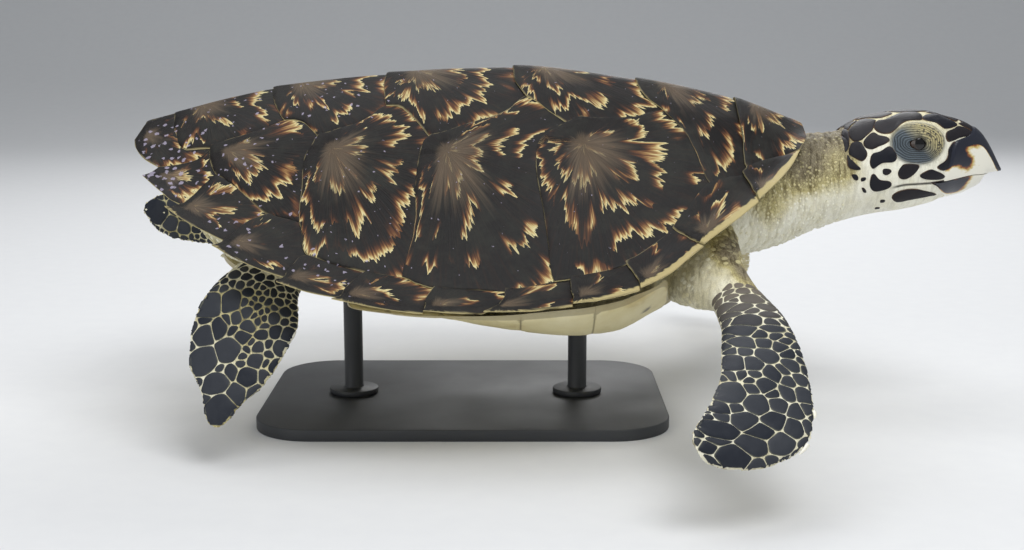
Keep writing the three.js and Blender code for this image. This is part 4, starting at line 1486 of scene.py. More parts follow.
@dataclass
class BellyShell:
    """The plastron and the two bridges: paired pale plates with fine seams."""

    form: ShellForm
    horn: bpy.types.Material
    gap: float = 0.1
    depth: float = 6.5
    crisp: float = 50.0

    EDGE = [(254, 0), (251, 35), (238, 70), (216, 98), (196, 125), (150, 125), (90, 125),
            (30, 125), (-35, 125), (-97, 125), (-112, 112), (-160, 100), (-215, 80), (-246, 48),
            (-256, 0)]
    CUTS = [236, 180, 100, 15, -75, -165, -222]
    BRIDGE_CUTS = [126, 58, -14, -62]

    def outlines(self) -> list[tuple[str, Plan]]:
        """Draws the belly plates of the left side.

        Returns:
            Each plate's plan outline, after the name of the solid that it belongs to.
        """
        outline = np.array(round_line(self.EDGE, 3.0))
        width = Profile([(x, y) for x, y in sorted({p[0]: p[1] for p in outline}.items())])
        bow = 5.0 * np.sin(np.linspace(0, np.pi, 7))
        parts: list[tuple[str, Plan]] = []
        for i, (high, low) in enumerate(zip([300] + self.CUTS, self.CUTS + [-300])):
            side = outline[(outline[:, 0] <= high) & (outline[:, 0] >= low)]
            if len(side) < 2:
                continue
            top, bottom = min(high, 254.0), max(low, -256.0)
            upper = [(top - (b if i else 0), y) for b, y in
                     zip(bow, np.linspace(0, float(width(top)), 7))]
            lower = [(bottom - (b if low > -256 else 0), y) for b, y in
                     zip(bow, np.linspace(0, float(width(bottom)), 7))]
            parts.append(("plastron", loop_of(upper, [tuple(p) for p in side], lower[::-1])))
        rim = [(x, float(self.form.width(x)) - 6.2)
               for x in (190, 150, 110, 70, 24, -20, -60, -96)]
        rim = round_line([(199, 170), *rim, (-104, 190)], 3.0)
        rim_at = Profile(sorted((p[0], p[1]) for p in rim if p[1] > 180))
        for high, low in zip([230] + self.BRIDGE_CUTS, self.BRIDGE_CUTS + [-130]):
            outer = [p for p in rim if low < p[0] < high]
            if high < 200:
                outer.insert(0, (high, float(rim_at(high))))
            if low > -110:
                outer.append((low, float(rim_at(low))))
            a, b = min(high, 196.0), max(low, -101.0)
            parts.append(("bridge", loop_of([(a, 125.4), (a, 150)], outer,
                                            [(b, 150), (b, 125.4)])))
        return parts

    def build(self) -> list[bpy.types.Object]:
        """Builds the plastron and both bridges, each one joined piece.

        Returns:
            The pieces.
        """
        groups: dict[str, list[bpy.types.Object]] = {}
        for i, (name, outline) in enumerate(self.outlines()):
            for side, shape in (("left", outline), ("right", flipped(outline))):
                key = name if name == "plastron" else f"{name}_{side}"
                groups.setdefault(key, []).append(self.plate(f"belly_{i}_{side}", shape))
        made = []
        for name, plates in groups.items():
            piece = join(plates, name + "_horn")
            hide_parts(name)
            dress(piece, self.horn, Part.PLASTRON, self.crisp)
            made.append(piece)
        return made

    def plate(self, name: str, outline: Plan) -> bpy.types.Object:
        """Builds one flat plate of the belly, just clear of its neighbours.

        Args:
            name: The object's name.
            outline: Its plan outline.

        Returns:
            The plate, not yet dressed.
        """
        loop = turned_left(outline, 3.5)
        loop = loop - outward(loop) * self.gap
        grid = inner_grid(loop, loop.min(0), loop.max(0), 7.0, 3.0)
        flat, triangles = triangulated(loop, grid)
        distance = edge_distance(flat, loop)
        under = self.form.under(flat) + 0.9 * ease(distance, 2.6, 0.0)
        deep = np.minimum(self.form.under(flat) + self.depth, self.form.dome(flat) - 7.0)
        piece = self.form.slab(name, (flat, triangles), np.maximum(deep, under + 0.6), under)
        arm = np.linalg.norm(flat - loop.mean(0), axis=1)
        mark(piece, "edge", np.tile(distance, 2))
        mark(piece, "grow", np.tile(arm / max(arm.max(), 1.0), 2))
        return piece


# ------------------------------------------------------------------ limbs, neck and head


@dataclass
class Fin:
    """A limb with lens-shaped sections between a leading and a trailing edge."""

    name: str
    stations: list[Station]
    dorsal: float
    inset: float = 0.9

    def __post_init__(self) -> None:
        """Fits smooth curves along the limb."""
        lead = np.array([s[0] for s in self.stations], float)
        trail = np.array([s[1] for s in self.stations], float)
        middle = (lead + trail) / 2
        length = np.concatenate([[0], np.cumsum(np.linalg.norm(np.diff(middle, axis=0), axis=1))])
        self.length = float(length[-1])
        self.curves = [Profile(list(zip(length, column))) for column in
                       (*lead.T, *trail.T, [s[2] for s in self.stations])]

    def frame(self, t: np.ndarray | float) -> tuple[np.ndarray, ...]:
        """Finds the section frames along the limb.

        Args:
            t: Places along the middle line, in millimetres.

        Returns:
            Middles, unit chords towards the lead edge, unit normals, half chords and
            half thicknesses.
        """
        t = np.atleast_1d(np.asarray(t, float))
        here, ahead, behind = (np.stack([c(where) for c in self.curves], axis=1)
                               for where in (t, t + 3.0, t - 3.0))
        middle = (here[:, :3] + here[:, 3:6]) / 2
        along = (ahead[:, :3] + ahead[:, 3:6] - behind[:, :3] - behind[:, 3:6]) / 2
        chord = here[:, :3] - here[:, 3:6]
        half = np.linalg.norm(chord, axis=1) / 2
        chord = chord / np.maximum(2 * half[:, None], 1e-6)
        normal = np.cross(along, chord)
        normal /= np.maximum(np.linalg.norm(normal, axis=1, keepdims=True), 1e-9)
        return middle, chord, normal, half, here[:, 6] / 2

    def solid(self, around: int = 72) -> bpy.types.Object:
        """Builds the limb's closed tube.

        Args:
            around: Points round each section.

        Returns:
            The tube.
        """
        t = np.linspace(0, self.length, int(self.length / 3.0) + 2)
        middle, chord, normal, half, thick = self.frame(t)
        turn = np.linspace(0, 2 * np.pi, around, endpoint=False)[None, :, None]
        long_way = np.maximum(half - self.inset, 0.6)[:, None, None] * np.cos(turn)
        short_way = np.maximum(thick - self.inset, 0.5)[:, None, None] * np.sin(turn)
        rings = middle[:, None] + chord[:, None] * long_way + normal[:, None] * short_way
        return tube(self.name, rings)


def mirror_stations(stations: list[Station]) -> list[Station]:
    """Mirrors a limb to the right-hand side."""
    return [((a[0], -a[1], a[2]), (b[0], -b[1], b[2]), t) for a, b, t in stations]


def swept_stations(stations: list[Station]) -> list[Station]:
    """Swings a limb forwards and a little up, from 150 mm off the midline outwards.

    Args:
        stations: The limb's stations.

    Returns:
        The moved stations.
    """
    def move(p: tuple[float, float, float]) -> tuple[float, float, float]:
        """Moves one edge point by how far out it lies."""
        out = max(p[1] - 150, 0)
        return (p[0] + 0.27 * out, p[1], p[2] + 6 * min(out / 60, 1))

    return [(move(a), move(b), t) for a, b, t in stations]


FORE: list[Station] = [
    ((262, 60, 215), (190, 60, 150), 80), ((268, 105, 208), (196, 105, 143), 70),
    ((269, 140, 195), (205, 140, 139), 54), ((270, 165, 183), (216, 165, 140), 42),
    ((280, 215, 162), (234, 215, 147), 30), ((297, 262, 144), (235, 262, 140), 23),
    ((305, 305, 121), (230, 305, 128), 18), ((306, 345, 98), (224, 345, 115), 15),
    ((301, 378, 75), (212, 378, 102), 12), ((281, 400, 58), (203, 400, 97), 10),
    ((249, 415, 53), (196, 415, 92), 8), ((218, 425, 57), (191, 425, 84), 6),
    ((201, 429, 64), (195, 429, 76), 4),
]
HIND_RIGHT: list[Station] = [
    ((-190, -80, 200), (-120, -80, 160), 60), ((-205, -115, 188), (-140, -115, 155), 50),
    ((-215, -140, 177), (-152, -140, 152), 38), ((-234, -165, 161), (-153, -165, 143), 27),
    ((-247, -185, 141), (-150, -185, 127), 19), ((-253, -200, 113), (-157, -200, 108), 15),
    ((-252, -212, 92), (-168, -212, 88), 12), ((-243, -222, 77), (-182, -222, 71), 10),
    ((-237, -230, 62), (-198, -230, 58), 8), ((-234, -236, 47), (-209, -236, 45), 6),
    ((-227, -239, 39), (-217, -239, 39), 4),
]
HIND_LEFT: list[Station] = [
    ((-135, 80, 212), (-135, 80, 150), 60), ((-170, 100, 210), (-170, 96, 150), 48),
    ((-208, 114, 211), (-205, 110, 152), 36), ((-252, 125, 216), (-252, 120, 151), 26),
    ((-296, 133, 219), (-296, 127, 151), 18), ((-333, 139, 217), (-333, 132, 155), 13),
    ((-358, 142, 211), (-356, 136, 163), 10), ((-372, 144, 203), (-368, 139, 175), 7),
    ((-378, 144, 194), (-376, 142, 185), 4),
]
TAIL: list[Station] = [
    ((-170, 0, 204), (-170, 0, 146), 70), ((-205, 0, 192), (-205, 0, 148), 50),
    ((-235, 0, 180), (-235, 0, 151), 30), ((-252, 0, 170), (-252, 0, 154), 15),
    ((-262, 0, 163), (-262, 0, 157), 6),
]


@dataclass
class Barrel:
    """A round body along +X: how low, how high and how wide it is at each place."""

    rows: tuple[tuple[float, float, float, float], ...]
    square: float

    def __post_init__(self) -> None:
        """Fits the smooth profiles."""
        self.low = Profile([(r[0], r[1]) for r in self.rows])
        self.high = Profile([(r[0], r[2]) for r in self.rows])
        self.half = Profile([(r[0], r[3]) for r in self.rows])

    def ring(self, x: float, inset: float, around: int) -> np.ndarray:
        """Draws one section ring, in millimetres.

        Args:
            x: The section's place.
            inset: How far it lies inside the body's surface.
            around: Its number of points.

        Returns:
            N by 3 points.
        """
        turn = np.linspace(0, 2 * np.pi, around, endpoint=False)
        power = lambda v: np.sign(v) * np.abs(v) ** (2 / self.square)
        low, high, half = float(self.low(x)), float(self.high(x)), float(self.half(x))
        tall = max((high - low) / 2 - inset, 0.4)
        wide = max(half - inset, 0.4)
        y = wide * power(np.cos(turn))
        z = (low + high) / 2 + tall * power(np.sin(turn))
        return np.stack([np.full(around, x), y, z], axis=1)

    def solid(self, name: str, step: float, inset: Callable[[float], float],
              around: int = 96) -> bpy.types.Object:
        """Builds the body from rings.

        Args:
            name: The object's name.
            step: Distance between the rings.
            inset: How far the body lies inside its surface, at each place.
            around: Points of each ring.

        Returns:
            The closed body.
        """
        first, last = self.rows[0][0], self.rows[-1][0]
        places = np.linspace(first, last, int((last - first) / step) + 1)
        rings = np.array([self.ring(x, inset(x), around) for x in places])
        return tube(name, rings)


NECK_FORM = Barrel((
    (215, 155, 258, 104), (245, 158, 268, 100), (275, 161, 277, 90), (300, 165, 283, 80),
    (330, 173, 289, 68), (351, 182, 291.5, 61), (372, 190.5, 292.5, 56), (390, 196.5, 294, 52),
    (404, 200.5, 299, 50)), 2.2)
HEAD_FORM = Barrel((
    (390, 198, 293, 47), (404, 201, 302.5, 50), (418, 204.5, 308.5, 53), (434, 207.5, 312, 55.5),
    (450, 209.5, 314.5, 56), (466, 212.5, 315.5, 54.5), (482, 216.5, 314.5, 50),
    (496, 220.5, 312.2, 43.5), (509, 225.5, 309.3, 36.5), (520, 228, 305.5, 30.5),
    (530, 232.5, 300, 24.5), (539, 237.5, 293, 19), (546, 247, 284, 14.5),
    (552, 249.6, 274.5, 10), (558, 250.6, 263.5, 6), (563, 251.2, 254.5, 2.5)), 2.35)
EYE = (462.0, 42.5, 284.0)
MOUTH = Profile([(436, 238.7), (452, 242.3), (474, 243.2), (491, 244), (508, 246.5),
                 (526, 249.2), (545, 249.2), (563, 251)])
SHEATH_REAR = Profile([(240, 489), (244, 490), (268, 497), (285, 503), (293, 524), (330, 545)])
LOWER_REAR = Profile([(215, 508), (226, 500), (233, 491), (243, 479)])


def ball(name: str, centre: Sequence[float], radii: Sequence[float], segments: int = 48
         ) -> bpy.types.Object:
    """Makes an ellipsoid in millimetres with its poles left and right.

    Args:
        name: The object's name.
        centre: Its middle.
        radii: Its half sizes along X, Y and Z.
        segments: Its number of slices.

    Returns:
        The ellipsoid.
    """
    clear_selection()
    bpy.ops.mesh.primitive_uv_sphere_add(segments=segments, ring_count=segments // 2)
    piece = bpy.context.object
    piece.name = name
    at = place_of(piece)[:, [0, 2, 1]] * np.array([1, 1, -1]) * np.array(radii)
    set_place(piece, (at + np.array(centre)) * MM)
    return piece


@dataclass
class Skin:
    """The animal's one skin: trunk, neck, head, limbs and tail without a seam."""

    form: ShellForm
    fins: dict[str, Fin]
    hide: bpy.types.Material
    voxel: float = 1.9
    head_voxel: float = 1.5
    inset: float = 0.9
    lid_size: tuple[float, float, float] = (30.2, 16.2, 22.2)
    socket_radius: float = 13.7
    opening_size: tuple[float, float, float] = (9.5, 13.0, 4.8)
    nostril: tuple[float, float, float] = (530.0, 10.5, 292.5)
    joint_passes: int = 26
    skin_passes: int = 5
    hidden_share: float = 0.06
    most_triangles: int = 195000
    wanted_triangles: int = 193000
    crisp: float = 60.0

    TRUNK = [(262, 0), (258, 60), (236, 104), (200, 122), (184, 190), (130, 205), (-80, 205),
             (-136, 140), (-190, 116), (-240, 84), (-272, 48), (-282, 0)]
    LOBE = [(-262, 28), (-246, 48), (-215, 80), (-160, 100), (-112, 112), (-97, 125)]
    PLASTRON = [(-256, 0), (-246, 48), (-215, 80), (-160, 100), (-112, 112), (-97, 125),
                (196, 125), (216, 98), (238, 70), (251, 35), (254, 0)]

    def build(self) -> bpy.types.Object:
        """Builds, folds, colours and dresses the skin.

        Returns:
            The dressed skin.
        """
        skin = self.rough()
        self.soften(skin)
        self.refine(skin)
        self.fold(skin)
        self.thin_out(skin)
        self.colour(skin)
        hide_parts("trunk", "neck", "head", "fore_flipper_right", "fore_flipper_left",
                    "hind_flipper_right", "hind_flipper_left", "tail")
        dress(skin, self.hide, Part.SKIN, self.crisp)
        return skin

    def rough(self) -> bpy.types.Object:
        """Grows the parts into one closed body with the eyes' openings.

        Returns:
            The body, still with the small steps of its making.
        """
        head = HEAD_FORM.solid("head_skin", 2.0, lambda x: self.inset + 1.6 * float(ease(
            np.array(x), 486, 500)))
        lids = [ball(f"lid_{i}", (EYE[0], side * (EYE[1] - 2), EYE[2]), self.lid_size)
                for i, side in enumerate((1, -1))]
        head = join([head, *lids], "head_skin")
        apply_modifier(head, "REMESH", mode="VOXEL", voxel_size=self.head_voxel * MM)
        for side in (1, -1):
            carve(head, ball("socket", (EYE[0], side * EYE[1], EYE[2]), [self.socket_radius] * 3))
            carve(head, ball("opening", (EYE[0] - 3, side * (EYE[1] + 20), EYE[2] + 0.5),
                             self.opening_size))
        neck = NECK_FORM.solid("neck_skin", 4.0, lambda x: self.inset)
        pieces = [head, neck, self.trunk(), *(f.solid() for f in self.fins.values())]
        skin = join(pieces, "turtle_skin")
        apply_modifier(skin, "REMESH", mode="VOXEL", voxel_size=self.voxel * MM)
        return skin

    def trunk(self) -> bpy.types.Object:
        """Builds the body inside the shell, with the soft belly behind the bridge.

        Returns:
            The closed body.
        """
        loop = turned_left(both_halves([(float(x), float(y)) for x, y in self.TRUNK]), 6.0)
        grid = inner_grid(loop, (-282, -205), (262, 205), 7.0, 3.5)
        flat, triangles = triangulated(loop, grid)
        x, y = flat[:, 0], np.abs(flat[:, 1])
        dome, under = self.form.dome(flat), self.form.under(flat)
        aside = np.maximum(np.maximum(y - Profile(self.LOBE)(x), -238 - x), 0)
        aside = np.where(x < -100, aside, 0)
        over_shell = (y < Profile(self.PLASTRON)(x) + 1) | ((x > -104) & (x < 200))
        belly = np.where(over_shell, under + 9.8, under + 3.9 + 0.8 * aside)
        covered = ease(self.form.width(x) - y, 22, 44) * ease(x, 232, 205) * ease(x, -255, -225)
        top = dome - 7.9 - 16.0 * covered
        bottom = np.minimum(np.minimum(belly, dome - 13.0), top - 2.0)
        return self.form.slab("trunk_skin", (flat, triangles), top, bottom)

    def neighbours_mean(self, piece: bpy.types.Object, values: np.ndarray) -> np.ndarray:
        """Averages a value per point over its neighbours.

        Args:
            piece: The object.
            values: N by K values, one row per point.

        Returns:
            N by K means.
        """
        count = len(piece.data.vertices)
        edges = np.empty(len(piece.data.edges) * 2, np.int32)
        piece.data.edges.foreach_get("vertices", edges)
        a, b = edges[::2], edges[1::2]
        degree = np.bincount(a, minlength=count) + np.bincount(b, minlength=count)
        total = np.stack([np.bincount(a, values[b, k], count) + np.bincount(b, values[a, k], count)
                          for k in range(values.shape[1])], axis=1)
        return total / np.maximum(degree, 1)[:, None]

    def soften(self, skin: bpy.types.Object) -> None:
        """Rounds the joints of the limbs much and everything else a little.

        Args:
            skin: The body.
        """
        at = place_of(skin)
        mm = at / MM
        x, y = mm[:, 0], np.abs(mm[:, 1])
        joint = ease(y, 205, 150) * ease(y, 60, 95) * ease(x, 170, 200) * ease(x, 345, 310)
        joint = np.maximum(joint, ease(x, 250, 275) * ease(x, 350, 320) * ease(y, 20, 40))
        joint = np.maximum(joint, ease(x, -100, -125) * ease(y, 190, 150))
        eye = np.linalg.norm(mm - np.array(EYE) * [1, 0, 1] - np.stack(
            [0 * x, np.sign(mm[:, 1]) * EYE[1], 0 * x], axis=1), axis=1)
        keep = ease(eye, 16, 24) * 0.75 + 0.25
        thin = ease(y, 235, 300) * 0.6
        for step in range(self.joint_passes):
            share = np.where(joint > step / self.joint_passes, 0.6, 0.0)
            if step < self.skin_passes:
                share = np.maximum(share, 0.42 * keep * (1 - thin))
            at += (self.neighbours_mean(skin, at) - at) * share[:, None]
        set_place(skin, at)

    def refine(self, skin: bpy.types.Object) -> None:
        """Gives the eyelids and the corner of the mouth a finer mesh.

        Args:
            skin: The body.
        """
        mm = place_of(skin) / MM
        eye = np.hypot(mm[:, 0] - EYE[0], (mm[:, 2] - EYE[2]) * 1.15)
        close = (eye < 30) & (np.abs(mm[:, 1]) > 22)
        mouth = (mm[:, 0] > 428) & (mm[:, 0] < 500) & (np.abs(mm[:, 2] - MOUTH(mm[:, 0])) < 7)
        mouth &= np.abs(mm[:, 1]) > 18
        edit_only(skin, close | mouth)
        bpy.ops.mesh.subdivide(number_cuts=1)
        bpy.ops.object.mode_set(mode="OBJECT")
        at = place_of(skin)
        mm = at / MM
        close = np.hypot(mm[:, 0] - EYE[0], (mm[:, 2] - EYE[2]) * 1.15) < 25
        share = np.where(close & (np.abs(mm[:, 1]) > 24), 0.5, 0.0)[:, None]
        for _ in range(5):
            at += (self.neighbours_mean(skin, at) - at) * share
        set_place(skin, at)

    def fold(self, skin: bpy.types.Object) -> None:
        """Presses in wrinkles, lid folds, the mouth line and the nostrils.

        Args:
            skin: The body.
        """
        at = place_of(skin)
        mm = at / MM
        normal = np.empty(len(at) * 3, np.float32)
        skin.data.vertices.foreach_get("normal", normal)
        normal = normal.reshape(-1, 3).astype(float)
        x, y, z = mm.T
        side = np.abs(y)
        # Rings round the neck, wandering, about 9 mm apart.
        sway = cloud(mm, 28.0, 1) * 16 + cloud(mm, 9.0, 2) * 4
        rings = np.abs(np.sin((x * 0.95 + np.abs(z - 235) * 0.16 + sway) * np.pi / 8.5))
        neck = ease(x, 255, 285) * ease(x, 402, 388) * ease(side, 125, 95)
        push = -1.35 * neck * (1 - rings) ** 2 * 1.6
        # Folds run out along the shoulders and round the roots of the hind limbs.
        shoulder = ease(side, 66, 90) * ease(side, 200, 165) * ease(x, 190, 215)
        turn = np.abs(np.sin((side * 0.75 + (z - 180) * 0.5 + sway) * np.pi / 9.0))
        push += -1.4 * shoulder * (1 - turn) ** 2 * (1 - neck)
        hip = ease(x, -120, -150) * ease(side, 175, 150)
        hip_turn = np.abs(np.sin((side * 0.6 + x * 0.55 + sway) * np.pi / 9.0))
        push += -1.1 * hip * (1 - hip_turn) ** 2
        # Loose pebbled skin everywhere.
        push += (cloud(mm, 4.6, 3) - 0.5) * 0.8 * np.maximum(neck, shoulder)
        push += (cloud(mm, 6.0, 4) - 0.5) * 0.35
        ring = self.lid_ring(mm)
        lid = self.lid_share(mm)
        push += lid * np.sin(ring * 1.3) * (0.02 + 0.26 * cloud(mm, 5.0, 9))
        slit = self.mouth_share(mm)
        push += -1.5 * slit
        push += -2.6 * ease(self.nostril_distance(mm), 3.2, 0.8)
        set_place(skin, (mm + normal * push[:, None]) * MM)

    def lid_ring(self, mm: np.ndarray) -> np.ndarray:
        """Measures how far points lie from the eye's opening.

        Args:
            mm: N by 3 points in millimetres.

        Returns:
            N distances in millimetres.
        """
        long_way = np.maximum(np.abs(mm[:, 0] - EYE[0] + 2.5) - 5.0, 0)
        sway = (cloud(mm, 7.0, 8) - 0.5) * 4.2
        return np.hypot(long_way, (mm[:, 2] - EYE[2]) * 1.2) + sway

    def lid_reach(self, mm: np.ndarray) -> np.ndarray:
        """Measures how far out points lie on the lids: 0 in the middle, 1 at their edge."""
        return np.hypot((mm[:, 0] - EYE[0]) / 29.0, (mm[:, 2] - EYE[2]) / 21.5)

    def nostril_distance(self, mm: np.ndarray) -> np.ndarray:
        """Measures how far points lie from the nostril of their side, in millimetres.

        Args:
            mm: N by 3 points in millimetres.

        Returns:
            N distances.
        """
        x, y, z = self.nostril
        return np.linalg.norm(np.stack([mm[:, 0] - x, np.abs(mm[:, 1]) - y, mm[:, 2] - z],
                                       axis=1), axis=1)

    def lid_share(self, mm: np.ndarray) -> np.ndarray:
        """Gives 1 on the eyelids and 0 elsewhere."""
        return ease(self.lid_reach(mm), 1.06, 0.86) * ease(np.abs(mm[:, 1]), 34, 42)

    def mouth_share(self, mm: np.ndarray) -> np.ndarray:
        """Gives 1 in the slit of the mouth and 0 elsewhere."""
        drop = np.abs(mm[:, 2] - MOUTH(mm[:, 0]))
        return ease(drop, 1.9, 0.3) * ease(mm[:, 0], 434, 444) * ease(np.abs(mm[:, 1]), 15, 22)

    def thin_out(self, skin: bpy.types.Object) -> None:
        """Keeps few points on the part that the shell covers.

        Args:
            skin: The body.
        """
        mm = place_of(skin) / MM
        local = self.form.local(mm)
        x, y = local[:, 0], np.abs(local[:, 1])
        roof = (local[:, 2] > self.form.dome(local[:, :2]) - 14) & (
            y < self.form.width(x) - 22) & (x < 322) & (x > -285)
        belly = (local[:, 2] < self.form.under(local[:, :2]) + 16) & (
            y < 112) & (x < 235) & (x > -235)
        wall = (x < 175) & (x > -85) & (y > 60)
        edit_only(skin, roof | belly | wall)
        bpy.ops.mesh.decimate(ratio=self.hidden_share)
        bpy.ops.object.mode_set(mode="OBJECT")
        total = triangles_of(skin)
        if total > self.most_triangles:
            apply_modifier(skin, "DECIMATE", ratio=self.wanted_triangles / total)

    def colour(self, skin: bpy.types.Object) -> None:
        """Stores the marks that the hide's colours follow.

        Args:
            skin: The body.
        """
        mm = place_of(skin) / MM
        x, y, z = mm.T
        side = np.abs(y)
        patchy = cloud(mm, 34.0, 6)
        level = (z - NECK_FORM.low(x)) / (NECK_FORM.high(x) - NECK_FORM.low(x))
        tone = np.full(len(mm), 0.42)
        neck = 0.07 + 0.72 * ease(level + (patchy - 0.5) * 0.45, 0.30, 0.98)
        tone += (neck - tone) * ease(x, 228, 285) * ease(side, 150, 92)
        head_level = (z - HEAD_FORM.low(x)) / (HEAD_FORM.high(x) - HEAD_FORM.low(x))
        head = 0.03 + 0.2 * ease(head_level, 0.65, 0.95)
        tone += (head - tone) * ease(x, 392, 412)
        limb = 0.08 + 0.2 * (patchy - 0.3)
        front = ease(x + 26 * (patchy - 0.5) + 0.35 * (z - 170), 244, 276)
        root = 0.17 + front * (0.14 + 0.5 * ease(patchy, 0.3, 0.66) * ease(z, 140, 190))
        out = ease(side, 190, 240)
        limbs = ease(side, 84, 140) * ease(x, 400, 380)
        tone += (root * (1 - out) + limb * out - tone) * limbs
        rear = 0.26 + 0.4 * (patchy - 0.5)
        tone += (rear - tone) * ease(x, 30, -30)
        mark(skin, "tone", np.clip(tone, 0, 1))
        mark(skin, "lid", self.lid_share(mm))
        mark(skin, "ring", self.lid_ring(mm) * 0.76)
        hole = self.nostril_distance(mm)
        depth = np.linalg.norm(mm - np.stack([0 * x + EYE[0], np.sign(y) * EYE[1],
                                              0 * x + EYE[2]], axis=1), axis=1)
        socket = ease(depth, 16.0, 14.2)
        groove = np.exp(-((self.lid_reach(mm) - 0.97) / 0.035) ** 2) * ease(side, 34, 40)
        socket = np.maximum(socket, 0.55 * groove)
        mark(skin, "shade", np.clip(self.mouth_share(mm) * 0.9 + ease(hole, 2.6, 1.2)
                                    + socket * 0.8, 0, 1))


# ------------------------------------------------------------------ scales


@dataclass
class ScaleCoat:
    """Collects thin horn scales that follow the skin and joins them into one piece.

    The relief is how far its scales rise, in millimetres, and the island is the corner of
    the coat's own place on the unwrap.
    """

    name: str
    skin: BVHTree
    relief: float
    island: tuple[float, float]
    crisp: float = 50.0
    reach: float = 0.09
    nearest: float = 0.03
    points: list[np.ndarray] = field(default_factory=list)
    faces: list[tuple[int, ...]] = field(default_factory=list)
    tints: list[float] = field(default_factory=list)
    rims: list[float] = field(default_factory=list)
    fades: list[float] = field(default_factory=list)
    patch: list[tuple[float, float]] = field(default_factory=list)

    def land(self, start: np.ndarray, way: np.ndarray) -> tuple[np.ndarray, np.ndarray] | None:
        """Finds the skin from a point along a direction.

        Args:
            start: The point, in millimetres.
            way: The direction.

        Returns:
            The place and the direction out of the skin there, or nothing.
        """
        hit = self.skin.ray_cast(Vector(start * MM), Vector(way), self.reach)
        if hit[0] is None:
            hit = self.skin.find_nearest(Vector(start * MM), self.nearest)
            if hit[0] is None:
                return None
        return np.array(hit[0]) / MM, np.array(hit[1])

    def land_all(self, starts: np.ndarray, ways: np.ndarray
                 ) -> tuple[np.ndarray, np.ndarray] | None:
        """Finds the skin from many points.

        Args:
            starts: N by 3 points, in millimetres.
            ways: N by 3 directions.

        Returns:
            The places and directions on the skin, or nothing where one point misses it.
        """
        places, ups = [], []
        for start, way in zip(starts, ways):
            found = self.land(start, way)
            if found is None:
                return None
            places.append(found[0])
            ups.append(found[1])
        return np.array(places), np.array(ups)

    def scale(self, outline: np.ndarray, lay: Callable[[np.ndarray], tuple | None],
              root: tuple[float, float], tint: float, span: float, bulge: float = 1.0,
              fade: float = 0.0) -> None:
        """Adds one closed scale over an outline in the coat's flat measure.

        Args:
            outline: N by 2 outline in millimetres.
            lay: Gives the places and directions on the skin of flat points.
            root: Where the scale grows from, in the flat measure.
            tint: From 0 to 1, the scale's own tone.
            span: Length of the whole unwrap, in millimetres.
            bulge: Share of the coat's relief.
            fade: From 0 to 1, how worn and pale the scale is.
        """
        middle = outline.mean(0)
        size = float(np.linalg.norm(outline - middle, axis=1).mean())
        rise = self.relief * bulge * min(1.0, 0.45 + size / 12.0)
        plan = ((1.05, -0.7, 1.0), (1.0, 0.62 * rise, 1.0),
                (max(1 - 0.9 / size, 0.7), 0.95 * rise, 0.8), (0.45, rise, 0.35))
        flat = np.vstack([middle + (outline - middle) * p[0] for p in plan] + [middle, middle])
        found = lay(flat)
        if found is None:
            return
        reach = np.linalg.norm(found[0] - found[0][-1], axis=1)
        if (reach > 1.8 * np.linalg.norm(flat - flat[-1], axis=1) + 1.5).any():
            return
        count = len(outline)
        start = len(self.points)
        height = np.append(np.repeat([p[1] for p in plan], count), [rise, -0.7])
        rims = np.append(np.repeat([p[2] for p in plan], count), [0.0, 1.0])
        places = found[0] + found[1] * height[:, None]
        for place, rim, point in zip(places, rims, flat):
            self.store(place, tint, float(rim), point, root, size, span, fade)
        self.knit(start, len(plan), count)

    def knit(self, start: int, rows: int, count: int) -> None:
        """Closes the rings of one scale with faces.

        Args:
            start: Number of its first point.
            rows: How many rings it has; the middle points above and below follow them.
            count: Points of each ring.
        """
        ring = [(k, (k + 1) % count) for k in range(count)]
        last, top = start + (rows - 1) * count, start + rows * count
        for a in range(start, last, count):
            b = a + count
            self.faces += [(a + k, a + m, b + m, b + k) for k, m in ring]
        for k, m in ring:
            self.faces += [(last + k, last + m, top), (start + m, start + k, top + 1)]

    def store(self, place: np.ndarray, tint: float, rim: float, flat: np.ndarray,
              root: tuple[float, float], size: float, span: float, fade: float = 0.0) -> None:
        """Keeps one point with its marks and its place on the unwrap.

        Args:
            place: Where it is, in millimetres.
            tint: The scale's own tone.
            rim: 1 at the scale's edge, 0 in its middle.
            flat: Where it lies in the coat's flat measure.
            root: Where the scale grows from, in the flat measure.
            size: The scale's size, in millimetres.
            span: Length of the whole unwrap, in millimetres.
            fade: From 0 to 1, how worn and pale the scale is.
        """
        self.points.append(place)
        self.tints.append(tint)
        self.rims.append(rim)
        self.fades.append(fade)
        own = (flat - np.array(root)) / max(size, 0.5) * 0.0011
        self.patch.append((self.island[0] + root[0] / span * 0.45 + own[0],
                           self.island[1] + root[1] / span * 0.45 + own[1]))

    def build(self, material: bpy.types.Material) -> bpy.types.Object:
        """Joins the scales, turns their faces outwards and dresses them.

        Args:
            material: The scales' finish.

        Returns:
            The piece.
        """
        piece = new_object(self.name, np.array(self.points) * MM, self.faces)
        outwards(piece)
        mark(piece, "tint", np.array(self.tints))
        mark(piece, "rim", np.array(self.rims))
        mark(piece, "fade", np.array(self.fades))
        layer = piece.data.uv_layers.new(name="OFBake")
        corner = np.empty(len(piece.data.loops), np.int32)
        piece.data.loops.foreach_get("vertex_index", corner)
        layer.data.foreach_set("uv", np.array(self.patch, np.float32)[corner].ravel())
        dress(piece, material, Part.SKIN, self.crisp)
        return piece


